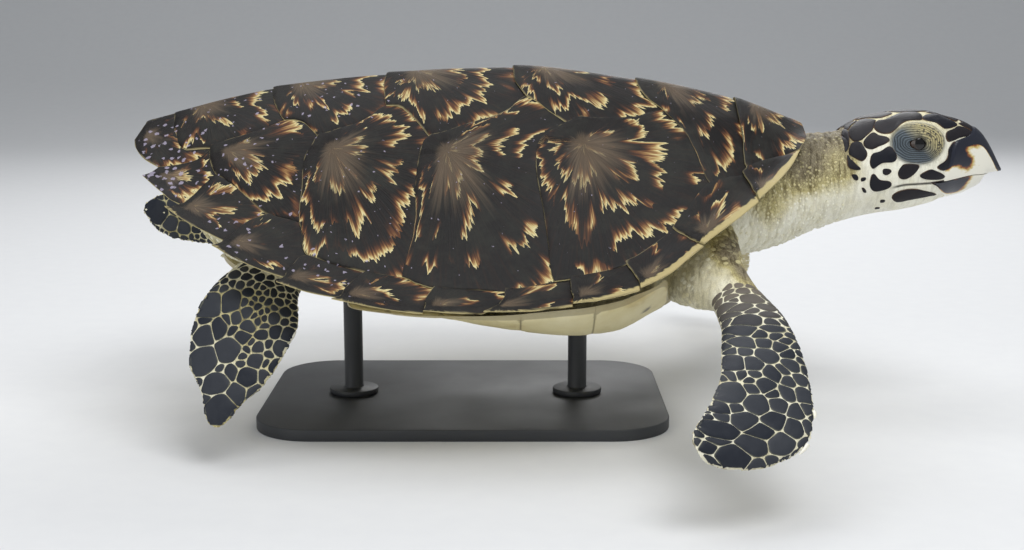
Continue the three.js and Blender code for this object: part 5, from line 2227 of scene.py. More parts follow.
def clipped(shape: Plan, nx: float, ny: float, limit: float) -> Plan:
    """Keeps the part of a convex outline on the near side of a line.

    Args:
        shape: The outline.
        nx: X of the line's unit direction.
        ny: Y of it.
        limit: How far the line lies from the origin.

    Returns:
        The part, empty where none is left.
    """
    result: Plan = []
    for a, b in zip(shape, shape[1:] + shape[:1]):
        da = a[0] * nx + a[1] * ny - limit
        db = b[0] * nx + b[1] * ny - limit
        if da <= 0:
            result.append(a)
        if (da < 0 < db) or (db < 0 < da):
            t = da / (da - db)
            result.append((a[0] + (b[0] - a[0]) * t, a[1] + (b[1] - a[1]) * t))
    return result


def rounded(outline: Plan | np.ndarray, passes: int = 2) -> np.ndarray:
    """Cuts the corners of a closed outline.

    Args:
        outline: The outline.
        passes: How often its corners are cut.

    Returns:
        N by 2 points.
    """
    line = np.array(outline)
    for _ in range(passes):
        after = np.roll(line, -1, axis=0)
        line = np.stack([line * 0.75 + after * 0.25, line * 0.25 + after * 0.75], 1).reshape(-1, 2)
    return line


def spread(outline: np.ndarray, count: int) -> np.ndarray:
    """Places a number of points evenly along a closed outline.

    Args:
        outline: N by 2 points.
        count: The number of places.

    Returns:
        The places.
    """
    closed = np.vstack([outline, outline[:1]])
    length = np.concatenate([[0], np.cumsum(np.linalg.norm(np.diff(closed, axis=0), axis=1))])
    where = np.linspace(0, length[-1], count, endpoint=False)
    return np.stack([np.interp(where, length, closed[:, k]) for k in (0, 1)], axis=1)


def mosaic(seeds: np.ndarray, edge: Callable[[float], float], length: float, gap: float,
           across: tuple[float, float]) -> list[tuple[np.ndarray, np.ndarray]]:
    """Divides a limb's face into scales round their seeds.

    Args:
        seeds: N by 3: along, across and radius, in millimetres.
        edge: Half width of the limb at a place along it.
        length: The limb's length.
        gap: Width of the skin between scales.
        across: Before the second place the scales are drawn out across the limb.

    Returns:
        Each scale's seed and outline.
    """
    def squeeze(t: float) -> float:
        """Tells how much narrower the limb is drawn while it is divided."""
        return 1 - 0.42 * float(ease(np.array(t), *across))

    warped = np.array([(t, s * squeeze(t), r) for t, s, r in seeds])
    cells = []
    for i, (t, s, r) in enumerate(warped):
        reach = max(r * 2.4, 5.0)
        shape = [(t + reach * math.cos(a), s + reach * math.sin(a))
                 for a in np.linspace(0, 2 * np.pi, 16, endpoint=False)]
        away = np.delete(warped, i, axis=0) - np.array([t, s, 0])
        distance = np.hypot(away[:, 0], away[:, 1])
        near = (distance < reach + away[:, 2] * 2.4) & (distance > 0.01)
        for vector, far in zip(away[near], distance[near]):
            share = (far * far + r * r - vector[2] * vector[2]) / (2 * far)
            share = min(max(share, 0.2 * far), 0.85 * far)
            nx, ny = vector[0] / far, vector[1] / far
            shape = clipped(shape, nx, ny, t * nx + s * ny + share - gap / 2)
            if len(shape) < 3:
                break
        if len(shape) < 3:
            continue
        shape = [(a, b / squeeze(a)) for a, b in shape]
        for way in (1, -1):
            slope = (edge(t + 2) - edge(t - 2)) / 4
            size = math.hypot(slope, 1)
            nx, ny = -slope / size, way / size
            if len(shape) >= 3:
                shape = clipped(shape, nx, ny, t * nx + way * edge(t) * ny - 0.5)
        if len(shape) >= 3:
            shape = clipped(shape, 1.0, 0.0, length - 3.0)
        if len(shape) < 3:
            continue
        outline = rounded(dense(shape, 5.0), 2)
        middle = outline.mean(0)
        if np.linalg.norm(outline - middle, axis=1).min() < 0.7:
            continue
        cells.append((seeds[i], outline))
    return cells


def filled(seeds: list[tuple[float, float, float]], edge: Callable[[float], float],
           start: float, length: float, size: Callable[[float, float], float],
           chance: random.Random, tries: int = 5000) -> np.ndarray:
    """Adds small scales wherever the given ones leave room.

    Args:
        seeds: The given scales: along, across and radius.
        edge: Half width of the limb at a place along it.
        start: Where along the limb scales begin.
        length: The limb's length.
        size: Radius of a small scale at a place.
        chance: The seeded source of chance.
        tries: How many places are tried.

    Returns:
        All seeds, N by 3.
    """
    table = np.zeros((len(seeds) + tries, 3))
    table[:len(seeds)] = seeds
    count = len(seeds)
    for _ in range(tries):
        t = chance.uniform(start, length - 3)
        wide = edge(t) - 1.5
        s = chance.uniform(-wide, wide)
        r = size(t, s) * chance.uniform(0.85, 1.15)
        have = table[:count]
        gap = np.hypot(have[:, 0] - t, have[:, 1] - s) - have[:, 2] * 1.22 - r * 0.95
        if gap.min() > 0:
            table[count] = (t, s, r)
            count += 1
    return table[:count]


@dataclass(frozen=True)
class ScaleRule:
    """How one kind of flipper is covered, in millimetres along its middle line.

    Scales start at first. Small ones fill the gaps and grow up to the knee. Before the
    second place of across they are drawn out across the limb.
    """

    full: float
    first: float
    knee: float
    root_size: float
    tip_size: float
    across: tuple[float, float]
    worn: bool


@dataclass
class FlipperScales:
    """The mosaic of scales on both faces of the four flippers."""

    fins: dict[str, Fin]
    skin: BVHTree
    above: bpy.types.Material
    below: bpy.types.Material
    relief: float = 0.85
    gap: float = 0.95
    span: float = 430.0
    tries: int = 4000

    RULES = {"fore": ScaleRule(421.4, 154, 184, 3.4, 3.9, (262.0, 225.0), True),
             "hind": ScaleRule(237.5, 76, 96, 2.2, 2.4, (0.0, -1.0), False)}

    FORE_SEEDS = [
        (284, -30, 11.1), (326, -32, 13.1), (351, -37, 8.3), (372, -38, 4.1), (384, -22, 13.6),
        (407, -5, 6.7), (399, 9, 12.6), (378, 10, 10.9), (356, -13, 8.7), (361, 6, 9.2),
        (333, -9, 10.3), (284, -14, 8.2), (308, -4, 7.1), (293, 3, 7.2), (326, 9, 6.6),
        (346, 9, 8.3), (364, 24, 11.0), (346, 27, 7.4), (328, 26, 5.6), (312, 16, 6.6),
        (308, 30, 7.6), (322, 34, 4.7), (338, 39, 4.7), (298, 17, 5.2), (292, 28, 6.2),
        (277, 22, 7.2), (277, 34, 5.3), (269, 0, 7.8), (238, -31, 5.0), (253, -18, 8.8),
        (253, 0, 5.9), (255, 13, 5.9), (263, 20, 4.9), (245, 20, 5.4), (233, -19, 8.9),
        (216, -27, 6.0), (220, -10, 9.0), (205, -21, 6.1), (190, -19, 7.2), (198, -10, 7.1),
        (186, 6, 7.2), (205, 0, 4.0), (201, 15, 5.1), (212, 13, 5.0), (222, 12, 5.0),
        (232, 12, 5.5), (240, -2, 4.9), (241, 13, 4.9), (238, 26, 4.5), (184, 22, 4.1),
        (192, 27, 4.1), (204, 29, 4.1), (216, 31, 4.0), (247, 30, 3.9), (257, 33, 3.9),
        (263, 38, 3.4), (278, 39, 3.4), (295, 39, 3.4), (257, -34, 4.4), (265, -19, 4.9),
        (306, -39, 2.4), (306, -17, 2.8), (363, -45, 2.8), (397, -9, 5.4), (228, 33, 3.0),
        (244, 36, 3.0), (258, 37, 2.9), (317, 5, 3.8)]
    HIND_SEEDS = [
        (123, 37, 12.0), (118, 19, 10.0), (150, 33, 9.9), (144, 22, 8.7), (175, 29, 14.6),
        (163, 8, 11.8), (185, 0, 6.7), (196, 11, 11.8), (220, 3, 14.8), (203, -9, 8.6),
        (188, -16, 9.4), (172, -20, 7.1), (150, -2, 7.1), (140, -5, 6.0), (133, 10, 4.4),
        (136, 16, 3.6), (126, 0, 4.4), (117, 5, 3.2), (92, 25, 4.8), (108, 4, 4.4),
        (145, 9, 2.8), (134, -11, 3.6), (130, -17, 2.8), (128, -25, 5.6), (142, -31, 6.0),
        (146, -20, 5.2), (159, -19, 5.9), (156, -28, 3.6), (165, -31, 3.6), (158, -39, 7.1),
        (142, -43, 7.2), (120, -34, 4.8), (120, -8, 2.8), (122, -17, 2.0), (114, -16, 2.8),
        (117, -1, 2.0), (107, -5, 2.0), (137, -19, 2.0), (156, -13, 2.8), (173, -30, 3.2),
        (186, -31, 4.7), (176, -39, 5.9), (200, -25, 6.3), (168, -7, 3.2), (183, 10, 3.1),
        (213, 15, 3.9), (137, 37, 3.2), (111, -26, 4.0), (107, 28, 3.2), (101, 15, 3.2),
        (103, -18, 3.2), (101, 0, 2.4)]

    def build(self) -> list[bpy.types.Object]:
        """Builds both faces of each flipper.

        Returns:
            One piece for each face.
        """
        made = []
        for index, (name, fin) in enumerate(self.fins.items()):
            if name == "tail":
                continue
            kind = name.split("_")[0]
            source = self.fins[f"{kind}_flipper_right"]
            for face, way in (("upper", fin.dorsal), ("lower", -fin.dorsal)):
                chance = random.Random(31 * index + (7 if face == "lower" else 0))
                placed = self.placed(kind, fin, source, face == "lower", chance)
                coat = ScaleCoat(f"{name}_{face}_scales", self.skin, self.relief,
                                 (0.02 + 0.245 * (index % 4), 0.26 if face == "upper" else 0.76))
                self.cover(coat, fin, placed, way, self.RULES[kind], chance)
                # Painted shade: the hind flippers' lower faces, pale with dark spots in life, take
                # the dark upper finish.
                dark = face == "upper" or kind == "hind"
                made.append(coat.build(self.above if dark else self.below))
        return made

    def placed(self, kind: str, fin: Fin, source: Fin, lower: bool, chance: random.Random
               ) -> list[tuple[float, float, float]]:
        """Moves the drawn scales of the right flipper onto one face of a limb.

        Args:
            kind: Fore or hind.
            fin: The limb.
            source: The limb that the scales were drawn on.
            lower: Whether the face is the lower one.
            chance: The seeded source of chance.

        Returns:
            The scales: along, across and radius.
        """
        stretch = fin.length / self.RULES[kind].full
        moved = []
        for t, s, r in self.FORE_SEEDS if kind == "fore" else self.HIND_SEEDS:
            wide = float(source.frame(t)[3][0])
            now = float(fin.frame(t * stretch)[3][0])
            ratio = min(now / max(wide, 1), 1.3)
            shift = chance.uniform(-1.5, 1.5) if (lower or "left" in fin.name) else 0
            moved.append((t * stretch + shift, s * ratio + shift * 0.6,
                          r * min(ratio, 1.1) * (0.92 if lower else 1)))
        return moved

    def cover(self, coat: ScaleCoat, fin: Fin, placed: list, way: float, rule: ScaleRule,
              chance: random.Random) -> None:
        """Fills one face of one limb with scales.

        Args:
            coat: Where the scales go.
            fin: The limb.
            placed: The drawn scales: along, across and radius.
            way: The side of the limb that the face looks to.
            rule: The sizes of the small scales.
            chance: The seeded source of chance.
        """
        places = np.linspace(0, fin.length, 300)
        halves = fin.frame(places)[3] - 0.9

        def edge(t: float) -> float:
            """Gives the half width of the limb."""
            return float(np.interp(t, places, halves))

        def size(t: float, s: float) -> float:
            """Gives the radius of the small filling scales."""
            grown = rule.root_size + 1.2 * (t - rule.first) / (rule.knee - rule.first)
            return grown if t < rule.knee else rule.tip_size

        def lay(flat: np.ndarray) -> tuple | None:
            """Finds the skin under flat points of this face.

            Args:
                flat: N by 2 points, along and across.

            Returns:
                The places and directions on the skin, or nothing.
            """
            middle, chord, normal, half, thick = fin.frame(flat[:, 0])
            bow = np.sqrt(np.clip(1 - (flat[:, 1] / np.maximum(half, 1)) ** 2, 0, 1))
            out = normal * way
            starts = middle + chord * flat[:, 1:2] + out * (thick * bow + 7)[:, None]
            found = coat.land_all(starts, -out)
            if found is None:
                return None
            facing = (found[1] * out).sum(1) > 0.05
            return found[0], np.where(facing[:, None], found[1], out)

        seeds = filled(placed, edge, rule.first, fin.length, size, chance, self.tries)
        for seed, outline in mosaic(seeds, edge, fin.length, self.gap, rule.across):
            if seed[0] - rule.first < 15 * chance.random() - 3:
                continue
            wide = float(np.linalg.norm(outline - outline.mean(0), axis=1).mean())
            count = int(min(max(wide * 2.8, 10), 34))
            tint = chance.uniform(0.1, 0.9)
            if seed[1] > 0.55 * edge(float(seed[0])) and rule.worn:
                tint = min(1.0, tint + 0.35)
            fade = float(ease(seed[0], rule.first + 85, rule.first + 4)) if rule.worn else 0.0
            coat.scale(spread(outline, count), lay, (float(seed[0]), float(seed[1])), tint,
                       self.span, fade=fade * chance.uniform(0.7, 1.0))


@dataclass
class HeadScales:
    """The horny shields of the head, drawn as [x, degrees from the crown]."""

    skin: BVHTree
    horn: bpy.types.Material
    relief: float = 0.95
    margin: float = 0.15
    per_degree: float = 0.86
    span: float = 430.0

    SHIELDS = [
        [(395, 11), (397, 25), (396, 42), (394, 51), (390, 55), (390, 47), (390, 26)],
        [(398, 24), (404, 16), (412, 10), (423, 24), (423, 30), (418, 42), (411, 47), (406, 49),
         (400, 46), (397, 36)],
        [(421, 37), (425, 29), (432, 30), (444, 23), (455, 16), (468, 18), (471, 28), (468, 38),
         (457, 38), (450, 41), (441, 49), (435, 52), (427, 50), (422, 44)],
        [(473, 29), (480, 22), (493, 14), (502, 22), (509, 30), (505, 38), (494, 46), (488, 44),
         (483, 40), (471, 37)],
        [(495, 51), (504, 42), (513, 32), (527, 32), (522, 44), (515, 50), (504, 60), (496, 64),
         (493, 60)],
        [(409, 52), (418, 46), (424, 52), (431, 56), (433, 60), (429, 63), (423, 64), (416, 65),
         (410, 60)],
        [(397, 48), (401, 48), (406, 52), (408, 58), (411, 67), (410, 72), (406, 74), (400, 68),
         (394, 58)],
        [(392, 60), (395, 66), (401, 76), (405, 83), (399, 81), (392, 73)],
        [(416, 71), (424, 70), (433, 67), (439, 76), (439, 82), (435, 84), (426, 83), (420, 86),
         (417, 87), (414, 80)],
        [(416, 94), (419, 94), (424, 101), (433, 104), (436, 108), (433, 112), (423, 114),
         (418, 112), (415, 106), (415, 98)],
        [(442, 96), (445, 90), (449, 88), (460, 90), (463, 93), (458, 100), (450, 104),
         (444, 102)],
        [(439, 124), (443, 118), (454, 116), (465, 119), (480, 128), (487, 136), (480, 134),
         (465, 132), (454, 132), (445, 132)],
        [(465, 102), (475, 98), (482, 101), (489, 106), (493, 112), (488, 113), (480, 111),
         (469, 107)],
        [(396, 85), (401, 88), (403, 94), (400, 94), (397, 89)],
        [(407, 106), (410, 108), (412, 113), (409, 112)],
        [(427, 90), (433, 91), (435, 94), (431, 97), (427, 95)],
        [(406, 94), (410, 95), (410, 98), (406, 98)],
        [(428, 126), (432, 127), (432, 130), (428, 130)],
        [(425, 138), (429, 139), (429, 142), (425, 142)],
    ]
    CROWN = [
        [(449, -11), (455, -14), (468, -15), (478, -10), (484, 0), (478, 10), (468, 15),
         (455, 14), (449, 11), (444, 0)],
        [(415, -8), (428, -22), (442, -17), (443, -8), (440, 0), (443, 8), (442, 17), (428, 22),
         (415, 8), (409, 0)],
    ]
    PAIRED = [
        [(486, 2), (480, 10), (482, 17), (492, 11), (503, 19), (508, 24), (512, 16), (513, 2)],
        [(516, 2), (516, 18), (512, 27), (524, 29), (532, 26), (538, 22), (538, 3)],
        [(397, 2), (397, 20), (403, 13), (409, 8), (405, 2)],
    ]

    def outline(self, shape: Plan) -> tuple[np.ndarray, np.ndarray, float]:
        """Rounds one shield's outline, just larger than drawn.

        Args:
            shape: The drawn outline.

        Returns:
            N by 2 points in millimetres, their middle and their mean distance from it.
        """
        shape = [(x, turn * self.per_degree) for x, turn in shape]
        flat = np.array(round_line(shape[-2:] + shape + shape[:2], 1.0))
        flat = flat[int(np.argmin(np.linalg.norm(flat - shape[0], axis=1))):]
        close = np.linalg.norm(flat[8:] - np.array(shape[0]), axis=1)
        flat = flat[:8 + int(np.argmin(close))]
        middle = flat.mean(0)
        wide = float(np.linalg.norm(flat - middle, axis=1).mean())
        return middle + (flat - middle) * (1 + self.margin / max(wide, 1)), middle, wide

    def build(self) -> bpy.types.Object:
        """Builds all shields of the head.

        Returns:
            The shields as one piece.
        """
        coat = ScaleCoat("head_shields", self.skin, self.relief, (0.02, 0.52))
        chance = random.Random(5)
        patches = [[p for p in dark if p[0] < 512] for dark in (Beak.UPPER_DARK, Beak.LOWER_DARK)]
        shapes = [[(x, side * turn) for x, turn in outline]
                  for outline in self.SHIELDS + self.PAIRED + patches for side in (1, -1)]

        def lay(points: np.ndarray) -> tuple | None:
            """Finds the head's skin at flat points.

            Args:
                points: N by 2 points, along and round the head.

            Returns:
                The places and directions on the skin, or nothing.
            """
            turn = np.radians(points[:, 1] / self.per_degree)
            heart = (HEAD_FORM.low(points[:, 0]) + HEAD_FORM.high(points[:, 0])) / 2
            out = np.stack([0 * turn, -np.sin(turn), np.cos(turn)], axis=1)
            starts = np.stack([points[:, 0], 0 * heart, heart], axis=1) + out * 85
            return coat.land_all(starts, -out)

        for shape in shapes + self.CROWN:
            flat, middle, wide = self.outline(shape)
            count = int(min(max(wide * 4.2, 14), 56))
            coat.scale(spread(flat, count), lay, (float(middle[0]) - 380, float(middle[1]) + 120),
                       chance.uniform(0.1, 0.7), self.span)
        return coat.build(self.horn)


@dataclass
class PebbleScales:
    """Small round scales strewn over the shoulders, the neck, the hips and the tail."""

    skin: bpy.types.Object
    tree: BVHTree
    horn: bpy.types.Material
    relief: float = 0.55
    most: int = 4000
    corners: int = 8
    span: float = 900.0

    RINGS = ((1.05, -0.4), (0.95, 0.25), (0.55, 0.5))

    def size(self, mm: np.ndarray) -> np.ndarray:
        """Finds the radius of the small scales at each place.

        Args:
            mm: N by 3 points in millimetres.

        Returns:
            N radii, 0 where there are no scales.
        """
        x, side = mm[:, 0], np.abs(mm[:, 1])
        shoulder = (side > 78) & (side < 178) & (x > 200)
        neck = (x > 285) & (x < 392) & (side > 20)
        rear = (x < -128) & (side > 40) & (side < 170)
        tail = (x < -200) & (side <= 40)
        return np.where(shoulder, 1.9 + (side - 78) * 0.008,
                        np.where(neck, 1.35, np.where(rear | tail, 1.7, 0.0)))

    def build(self) -> bpy.types.Object:
        """Builds all small scales.

        Returns:
            The scales as one piece.
        """
        mm = place_of(self.skin) / MM
        tone = np.empty(len(mm), np.float32)
        self.skin.data.attributes["tone"].data.foreach_get("value", tone)
        size = self.size(mm)
        chance = random.Random(11)
        order = [int(i) for i in np.flatnonzero(size > 0)]
        chance.shuffle(order)
        coat = ScaleCoat("small_scales", self.tree, self.relief, (0.52, 0.02))
        search = KDTree(len(order))
        for i in order:
            search.insert(Vector(mm[i]), i)
        search.balance()
        taken = np.zeros(len(mm), bool)
        made = 0
        for i in order:
            if taken[i]:
                continue
            r = float(size[i]) * chance.uniform(0.85, 1.15)
            for _, j, _ in search.find_range(Vector(mm[i]), r * 2.15):
                taken[j] = True
            self.bead(coat, mm[i], r * 0.95, float(tone[i]), chance)
            made += 1
            if made >= self.most:
                break
        return coat.build(self.horn)

    def bead(self, coat: ScaleCoat, here: np.ndarray, radius: float, tone: float,
             chance: random.Random) -> None:
        """Adds one low round scale.

        Args:
            coat: Where it goes.
            here: Its place on the skin, in millimetres.
            radius: Its radius.
            tone: The tone of the skin there.
            chance: The seeded source of chance.
        """
        hit = self.tree.find_nearest(Vector(here * MM), 0.01)
        if hit[0] is None:
            return
        up = np.array(hit[1])
        first = np.cross(up, [0.31, 0.9, 0.28])
        first /= np.linalg.norm(first)
        second = np.cross(up, first)
        start = len(coat.points)
        turn0 = chance.uniform(0, 6.28)
        tint = min(max(tone * 1.2 - 0.05 + chance.uniform(-0.12, 0.12), 0.0), 1.0)
        long_way = chance.uniform(1.0, 1.3)
        middle = np.array(hit[0]) / MM
        root = (float(here[0]) + 300, float(here[1]) + 200)
        for share, height in self.RINGS:
            for k in range(self.corners):
                turn = turn0 + 2 * math.pi * k / self.corners
                off = np.array([math.cos(turn) * long_way, math.sin(turn)]) * radius * share
                place = middle + first * off[0] + second * off[1] + up * height * 0.75
                coat.store(place, tint, share, np.array(root) + off, root, radius, self.span)
        coat.store(middle + up * 0.42, tint, 0.0, np.array(root), root, radius, self.span)
        coat.store(middle - up * 0.4, tint, 1.0, np.array(root), root, radius, self.span)
        coat.knit(start, len(self.RINGS), self.corners)


# ------------------------------------------------------------------ beak, eyes, claws, stand


@dataclass
class Beak:
    """The two horn sheaths of the hooked beak."""

    horn: bpy.types.Material
    step: float = 1.1
    around: int = 144
    inset: float = 0.12
    half_width: float = 120.0
    per_degree: float = 0.6
    crisp: float = 35.0

    UPPER = [(490, 244.2), (508, 246.9), (526, 249.5), (545, 249.6), (565, 251.3), (600, 251.3),
             (600, 330), (545, 330), (535, 311), (524, 293), (513, 288.5), (503, 285),
             (499.5, 276), (497, 268), (493, 256)]
    LOWER = [(479, 243.2), (491, 243.4), (508, 246.1), (526, 248.7), (545, 248.8), (565, 250.5),
             (600, 250.5), (600, 215), (508, 215), (500, 226), (491, 233)]
    UPPER_DARK = [(496, 74), (504, 64), (518, 53), (525, 54), (531, 52), (530, 59), (519, 66),
                  (517, 75), (520, 84), (524, 91), (523, 106), (517, 106), (505, 99),
                  (496, 102), (490, 102), (483, 96), (492, 90), (495, 83)]
    LOWER_DARK = [(479, 115), (492, 116), (507, 121), (522, 124), (522, 132), (519, 140),
                  (517, 146), (511, 150), (502, 144), (493, 132), (485, 121)]
    CROWN_AT = [500, 520, 528, 536, 548, 556, 561, 564]
    CROWN_BAND = [30, 26, 20, 16, 14, 12, 8, 3]

    def build(self) -> list[bpy.types.Object]:
        """Builds the upper and the lower sheath.

        Returns:
            Both sheaths.
        """
        return [self.sheath("beak_upper", self.UPPER, self.UPPER_DARK),
                self.sheath("beak_lower", self.LOWER, self.LOWER_DARK)]

    def sheath(self, name: str, profile: Plan, dark: Plan) -> bpy.types.Object:
        """Cuts one sheath out of the head's shape and marks its dark patch.

        Args:
            name: The solid that it stands for.
            profile: Its side view, as x and z.
            dark: Outline of the dark patch, as x and degrees from the crown.

        Returns:
            The dressed sheath.
        """
        rows = tuple(r for r in HEAD_FORM.rows if r[0] > 460)
        body = Barrel(rows, HEAD_FORM.square).solid(name + "_horn", self.step,
                                                    lambda x: self.inset, self.around)
        side = round_line(profile + [profile[0]], 3.0)[:-1]
        count = len(side)
        ends = (-self.half_width, self.half_width)
        points = np.array([(x, y, z) for y in ends for x, z in side]) * MM
        faces = [tuple(range(count)), tuple(range(2 * count - 1, count - 1, -1))]
        faces += [(k, k + count, (k + 1) % count + count, (k + 1) % count) for k in range(count)]
        cutter = new_object("cutter", points, faces)
        outwards(cutter)
        carve(body, cutter, "INTERSECT")
        mm = place_of(body) / MM
        x, y, z = mm.T
        heart = (HEAD_FORM.low(x) + HEAD_FORM.high(x)) / 2
        turn = np.degrees(np.arctan2(np.abs(y), z - heart))
        flat = np.stack([x, turn * self.per_degree], axis=1)
        loop = np.array([(a, b * self.per_degree)
                         for a, b in round_line(dark + [dark[0]], 2.0)[:-1]])
        far = edge_distance(flat, loop) * np.where(inside(flat, loop), -1, 1)
        wide = 2.2 + 4.2 * ease(x, 500, 518)
        patch = np.clip(0.5 - far / (2 * wide), 0, 1)
        if "upper" in name:
            # The crown of the beak stays dark, in a band that narrows to the hook.
            band = np.interp(x, self.CROWN_AT, self.CROWN_BAND)
            ridge = ease(HEAD_FORM.high(x) - z, band + 1.6, band - 1.6) * ease(x, 500, 506)
            patch = np.maximum(patch, ridge)
        mark(body, "patch", patch)
        # The rear edge runs out under the skin without a step.
        rear = SHEATH_REAR if "upper" in name else LOWER_REAR
        sink = ease(x - rear(z), 5.0, 0.4) * 1.5
        across = np.hypot(y, z - heart)
        inwards = 1 - sink / np.maximum(across, 4.0)
        set_place(body, np.stack([x, y * inwards, heart + (z - heart) * inwards], axis=1) * MM)
        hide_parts(name)
        dress(body, self.horn, Part.HORN, self.crisp)
        return body


@dataclass
class Eyes:
    """Two glass eyes behind the lids."""

    glass: bpy.types.Material
    radius: float = 13.4
    segments: int = 64
    crisp: float = 80.0

    def build(self) -> list[bpy.types.Object]:
        """Builds both eyes.

        Returns:
            The eyes.
        """
        made = []
        for name, side in (("eye_left", 1), ("eye_right", -1)):
            centre = np.array([EYE[0], side * EYE[1], EYE[2]])
            piece = ball(name + "_glass", centre, [self.radius] * 3, self.segments)
            mm = place_of(piece) / MM - centre
            gaze = np.array([0.14, side * 0.98, 0.05])
            gaze /= np.linalg.norm(gaze)
            unit = mm / np.linalg.norm(mm, axis=1, keepdims=True)
            away = np.arccos(np.clip(unit @ gaze, -1, 1)) / (math.pi / 2)
            mark(piece, "gaze", away)
            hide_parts(name)
            dress(piece, self.glass, Part.EYE, self.crisp)
            made.append(piece)
        return made


@dataclass
class Claws:
    """The single large claw on the leading edge of each flipper, and a small second one."""

    fins: dict[str, Fin]
    horn: bpy.types.Material
    large: float = 13.0
    small: float = 7.0
    apart: float = 34.0
    radius: float = 2.3
    blunt: float = 0.25
    sunk: float = 3.6
    crisp: float = 60.0

    def build(self) -> list[bpy.types.Object]:
        """Builds the claws of all four flippers.

        Returns:
            One piece for each flipper.
        """
        made = []
        for name, fin in self.fins.items():
            if name == "tail":
                continue
            share = 0.845 if name.startswith("fore") else 0.60
            way = -1.0 if name == "hind_flipper_right" else 1.0
            t = fin.length * share
            pieces = [self.claw(fin, t, self.large, way, f"{name}_claw"),
                      self.claw(fin, t - self.apart, self.small, way, f"{name}_claw_b")]
            piece = join(pieces, f"{name}_claws")
            mark(piece, "patch", np.zeros(len(piece.data.vertices)))
            dress(piece, self.horn, Part.HORN, self.crisp)
            made.append(piece)
        return made

    def claw(self, fin: Fin, t: float, long: float, way: float, name: str) -> bpy.types.Object:
        """Builds one blunt curved claw lying along the edge.

        Args:
            fin: The limb.
            t: Its place along the limb.
            long: Its length.
            way: The side of the limb that leads.
            name: The object's name.

        Returns:
            The claw.
        """
        middle, chord, normal, half = fin.frame(np.array([t]))[:4]
        ahead = fin.frame(np.array([t + 6]))
        edge = middle[0] + chord[0] * way * (half[0] - self.sunk)
        next_edge = ahead[0][0] + ahead[1][0] * way * (ahead[3][0] - self.sunk)
        along = (next_edge - edge) / np.linalg.norm(next_edge - edge)
        turn = np.linspace(0, 2 * np.pi, 20, endpoint=False)
        rings = []
        for k in range(9):
            u = k / 8
            radius = (1 - u ** 1.7) * self.radius + self.blunt
            centre = edge + along * (u - 0.35) * long + chord[0] * way * math.sin(u * 2.2) * 1.1
            rings.append(centre + chord[0] * (np.cos(turn) * radius)[:, None]
                         + normal[0] * (np.sin(turn) * radius * 0.85)[:, None])
        return tube(name, np.array(rings))


@dataclass
class Stand:
    """A plain steel base plate with two rods that carry the plastron."""

    form: ShellForm
    steel: bpy.types.Material
    plate: tuple[float, float, float] = (420.0, 300.0, 12.0)
    corner: float = 60.0
    soft_edge: float = 1.2
    rod_at: float = 120.0
    around: int = 64
    crisp: float = 35.0

    PROFILE = [(6, 12.3), (24.5, 12.3), (25.6, 12.8), (26, 13.8), (26, 16.9), (25.5, 17.9),
               (24.6, 18.3), (12.2, 18.3), (10.8, 18.9), (10, 20.3), (10, 60), (10, 100),
               (10, 127), (11, 129), (22.5, 133.4), (23.7, 134.4), (24, 136)]
    HEAD = [(24, 1.2), (23.4, 0.45), (16, 0.45), (8, 0.45)]

    def build(self) -> list[bpy.types.Object]:
        """Builds the base and both rods.

        Returns:
            The pieces.
        """
        return [self.base(), self.rod("stand_rod_front", self.rod_at),
                self.rod("stand_rod_rear", -self.rod_at)]

    def base(self) -> bpy.types.Object:
        """Builds the round-cornered plate with softened edges.

        Returns:
            The dressed plate.
        """
        clear_selection()
        bpy.ops.mesh.primitive_cube_add(size=1.0)
        piece = bpy.context.object
        piece.name = "stand_base_plate"
        lift = np.array([0, 0, self.plate[2] / 2])
        set_place(piece, (place_of(piece) * np.array(self.plate) + lift) * MM)
        bpy.ops.object.mode_set(mode="EDIT")
        bpy.ops.mesh.select_mode(type="EDGE")
        bpy.ops.mesh.select_all(action="DESELECT")
        bpy.ops.object.mode_set(mode="OBJECT")
        at = place_of(piece)
        for edge in piece.data.edges:
            a, b = edge.vertices
            edge.select = bool(abs(at[a, 2] - at[b, 2]) > 0.005)
        bpy.ops.object.mode_set(mode="EDIT")
        bpy.ops.mesh.bevel(offset=self.corner * MM, offset_type="OFFSET", segments=20,
                           affect="EDGES")
        bpy.ops.object.mode_set(mode="OBJECT")
        apply_modifier(piece, "BEVEL", width=self.soft_edge * MM, segments=3,
                       limit_method="ANGLE", angle_limit=math.radians(50))
        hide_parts("stand_base")
        dress(piece, self.steel, Part.STEEL, self.crisp)
        return piece

    def underside(self, x: np.ndarray, y: np.ndarray) -> np.ndarray:
        """Finds the height of the plastron over places on the floor, in millimetres.

        Args:
            x: N places along.
            y: N places across.

        Returns:
            N heights.
        """
        turn = math.radians(self.form.roll)
        c, s = math.cos(turn), math.sin(turn)
        z = np.full(len(x), -60.0)
        for _ in range(8):
            across = (y + z * s) / c
            z = self.form.under(np.stack([x, across], axis=1))
        return across * s + z * c + self.form.height

    def rod(self, name: str, x: float) -> bpy.types.Object:
        """Turns one rod: foot flange, shaft and a flared head that fits the plastron.

        Args:
            name: The solid that it stands for.
            x: Its place along the base.

        Returns:
            The dressed rod.
        """
        turn = np.linspace(0, 2 * np.pi, self.around, endpoint=False)
        rings = [np.stack([x + r * np.cos(turn), r * np.sin(turn), np.full(self.around, z)],
                          axis=1) for r, z in self.PROFILE]
        for r, drop in self.HEAD:
            px, py = x + r * np.cos(turn), r * np.sin(turn)
            rings.append(np.stack([px, py, self.underside(px, py) - drop], axis=1))
        piece = tube(name + "_turned", np.array(rings))
        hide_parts(name)
        dress(piece, self.steel, Part.STEEL, self.crisp)
        return piece


# ------------------------------------------------------------------ studio


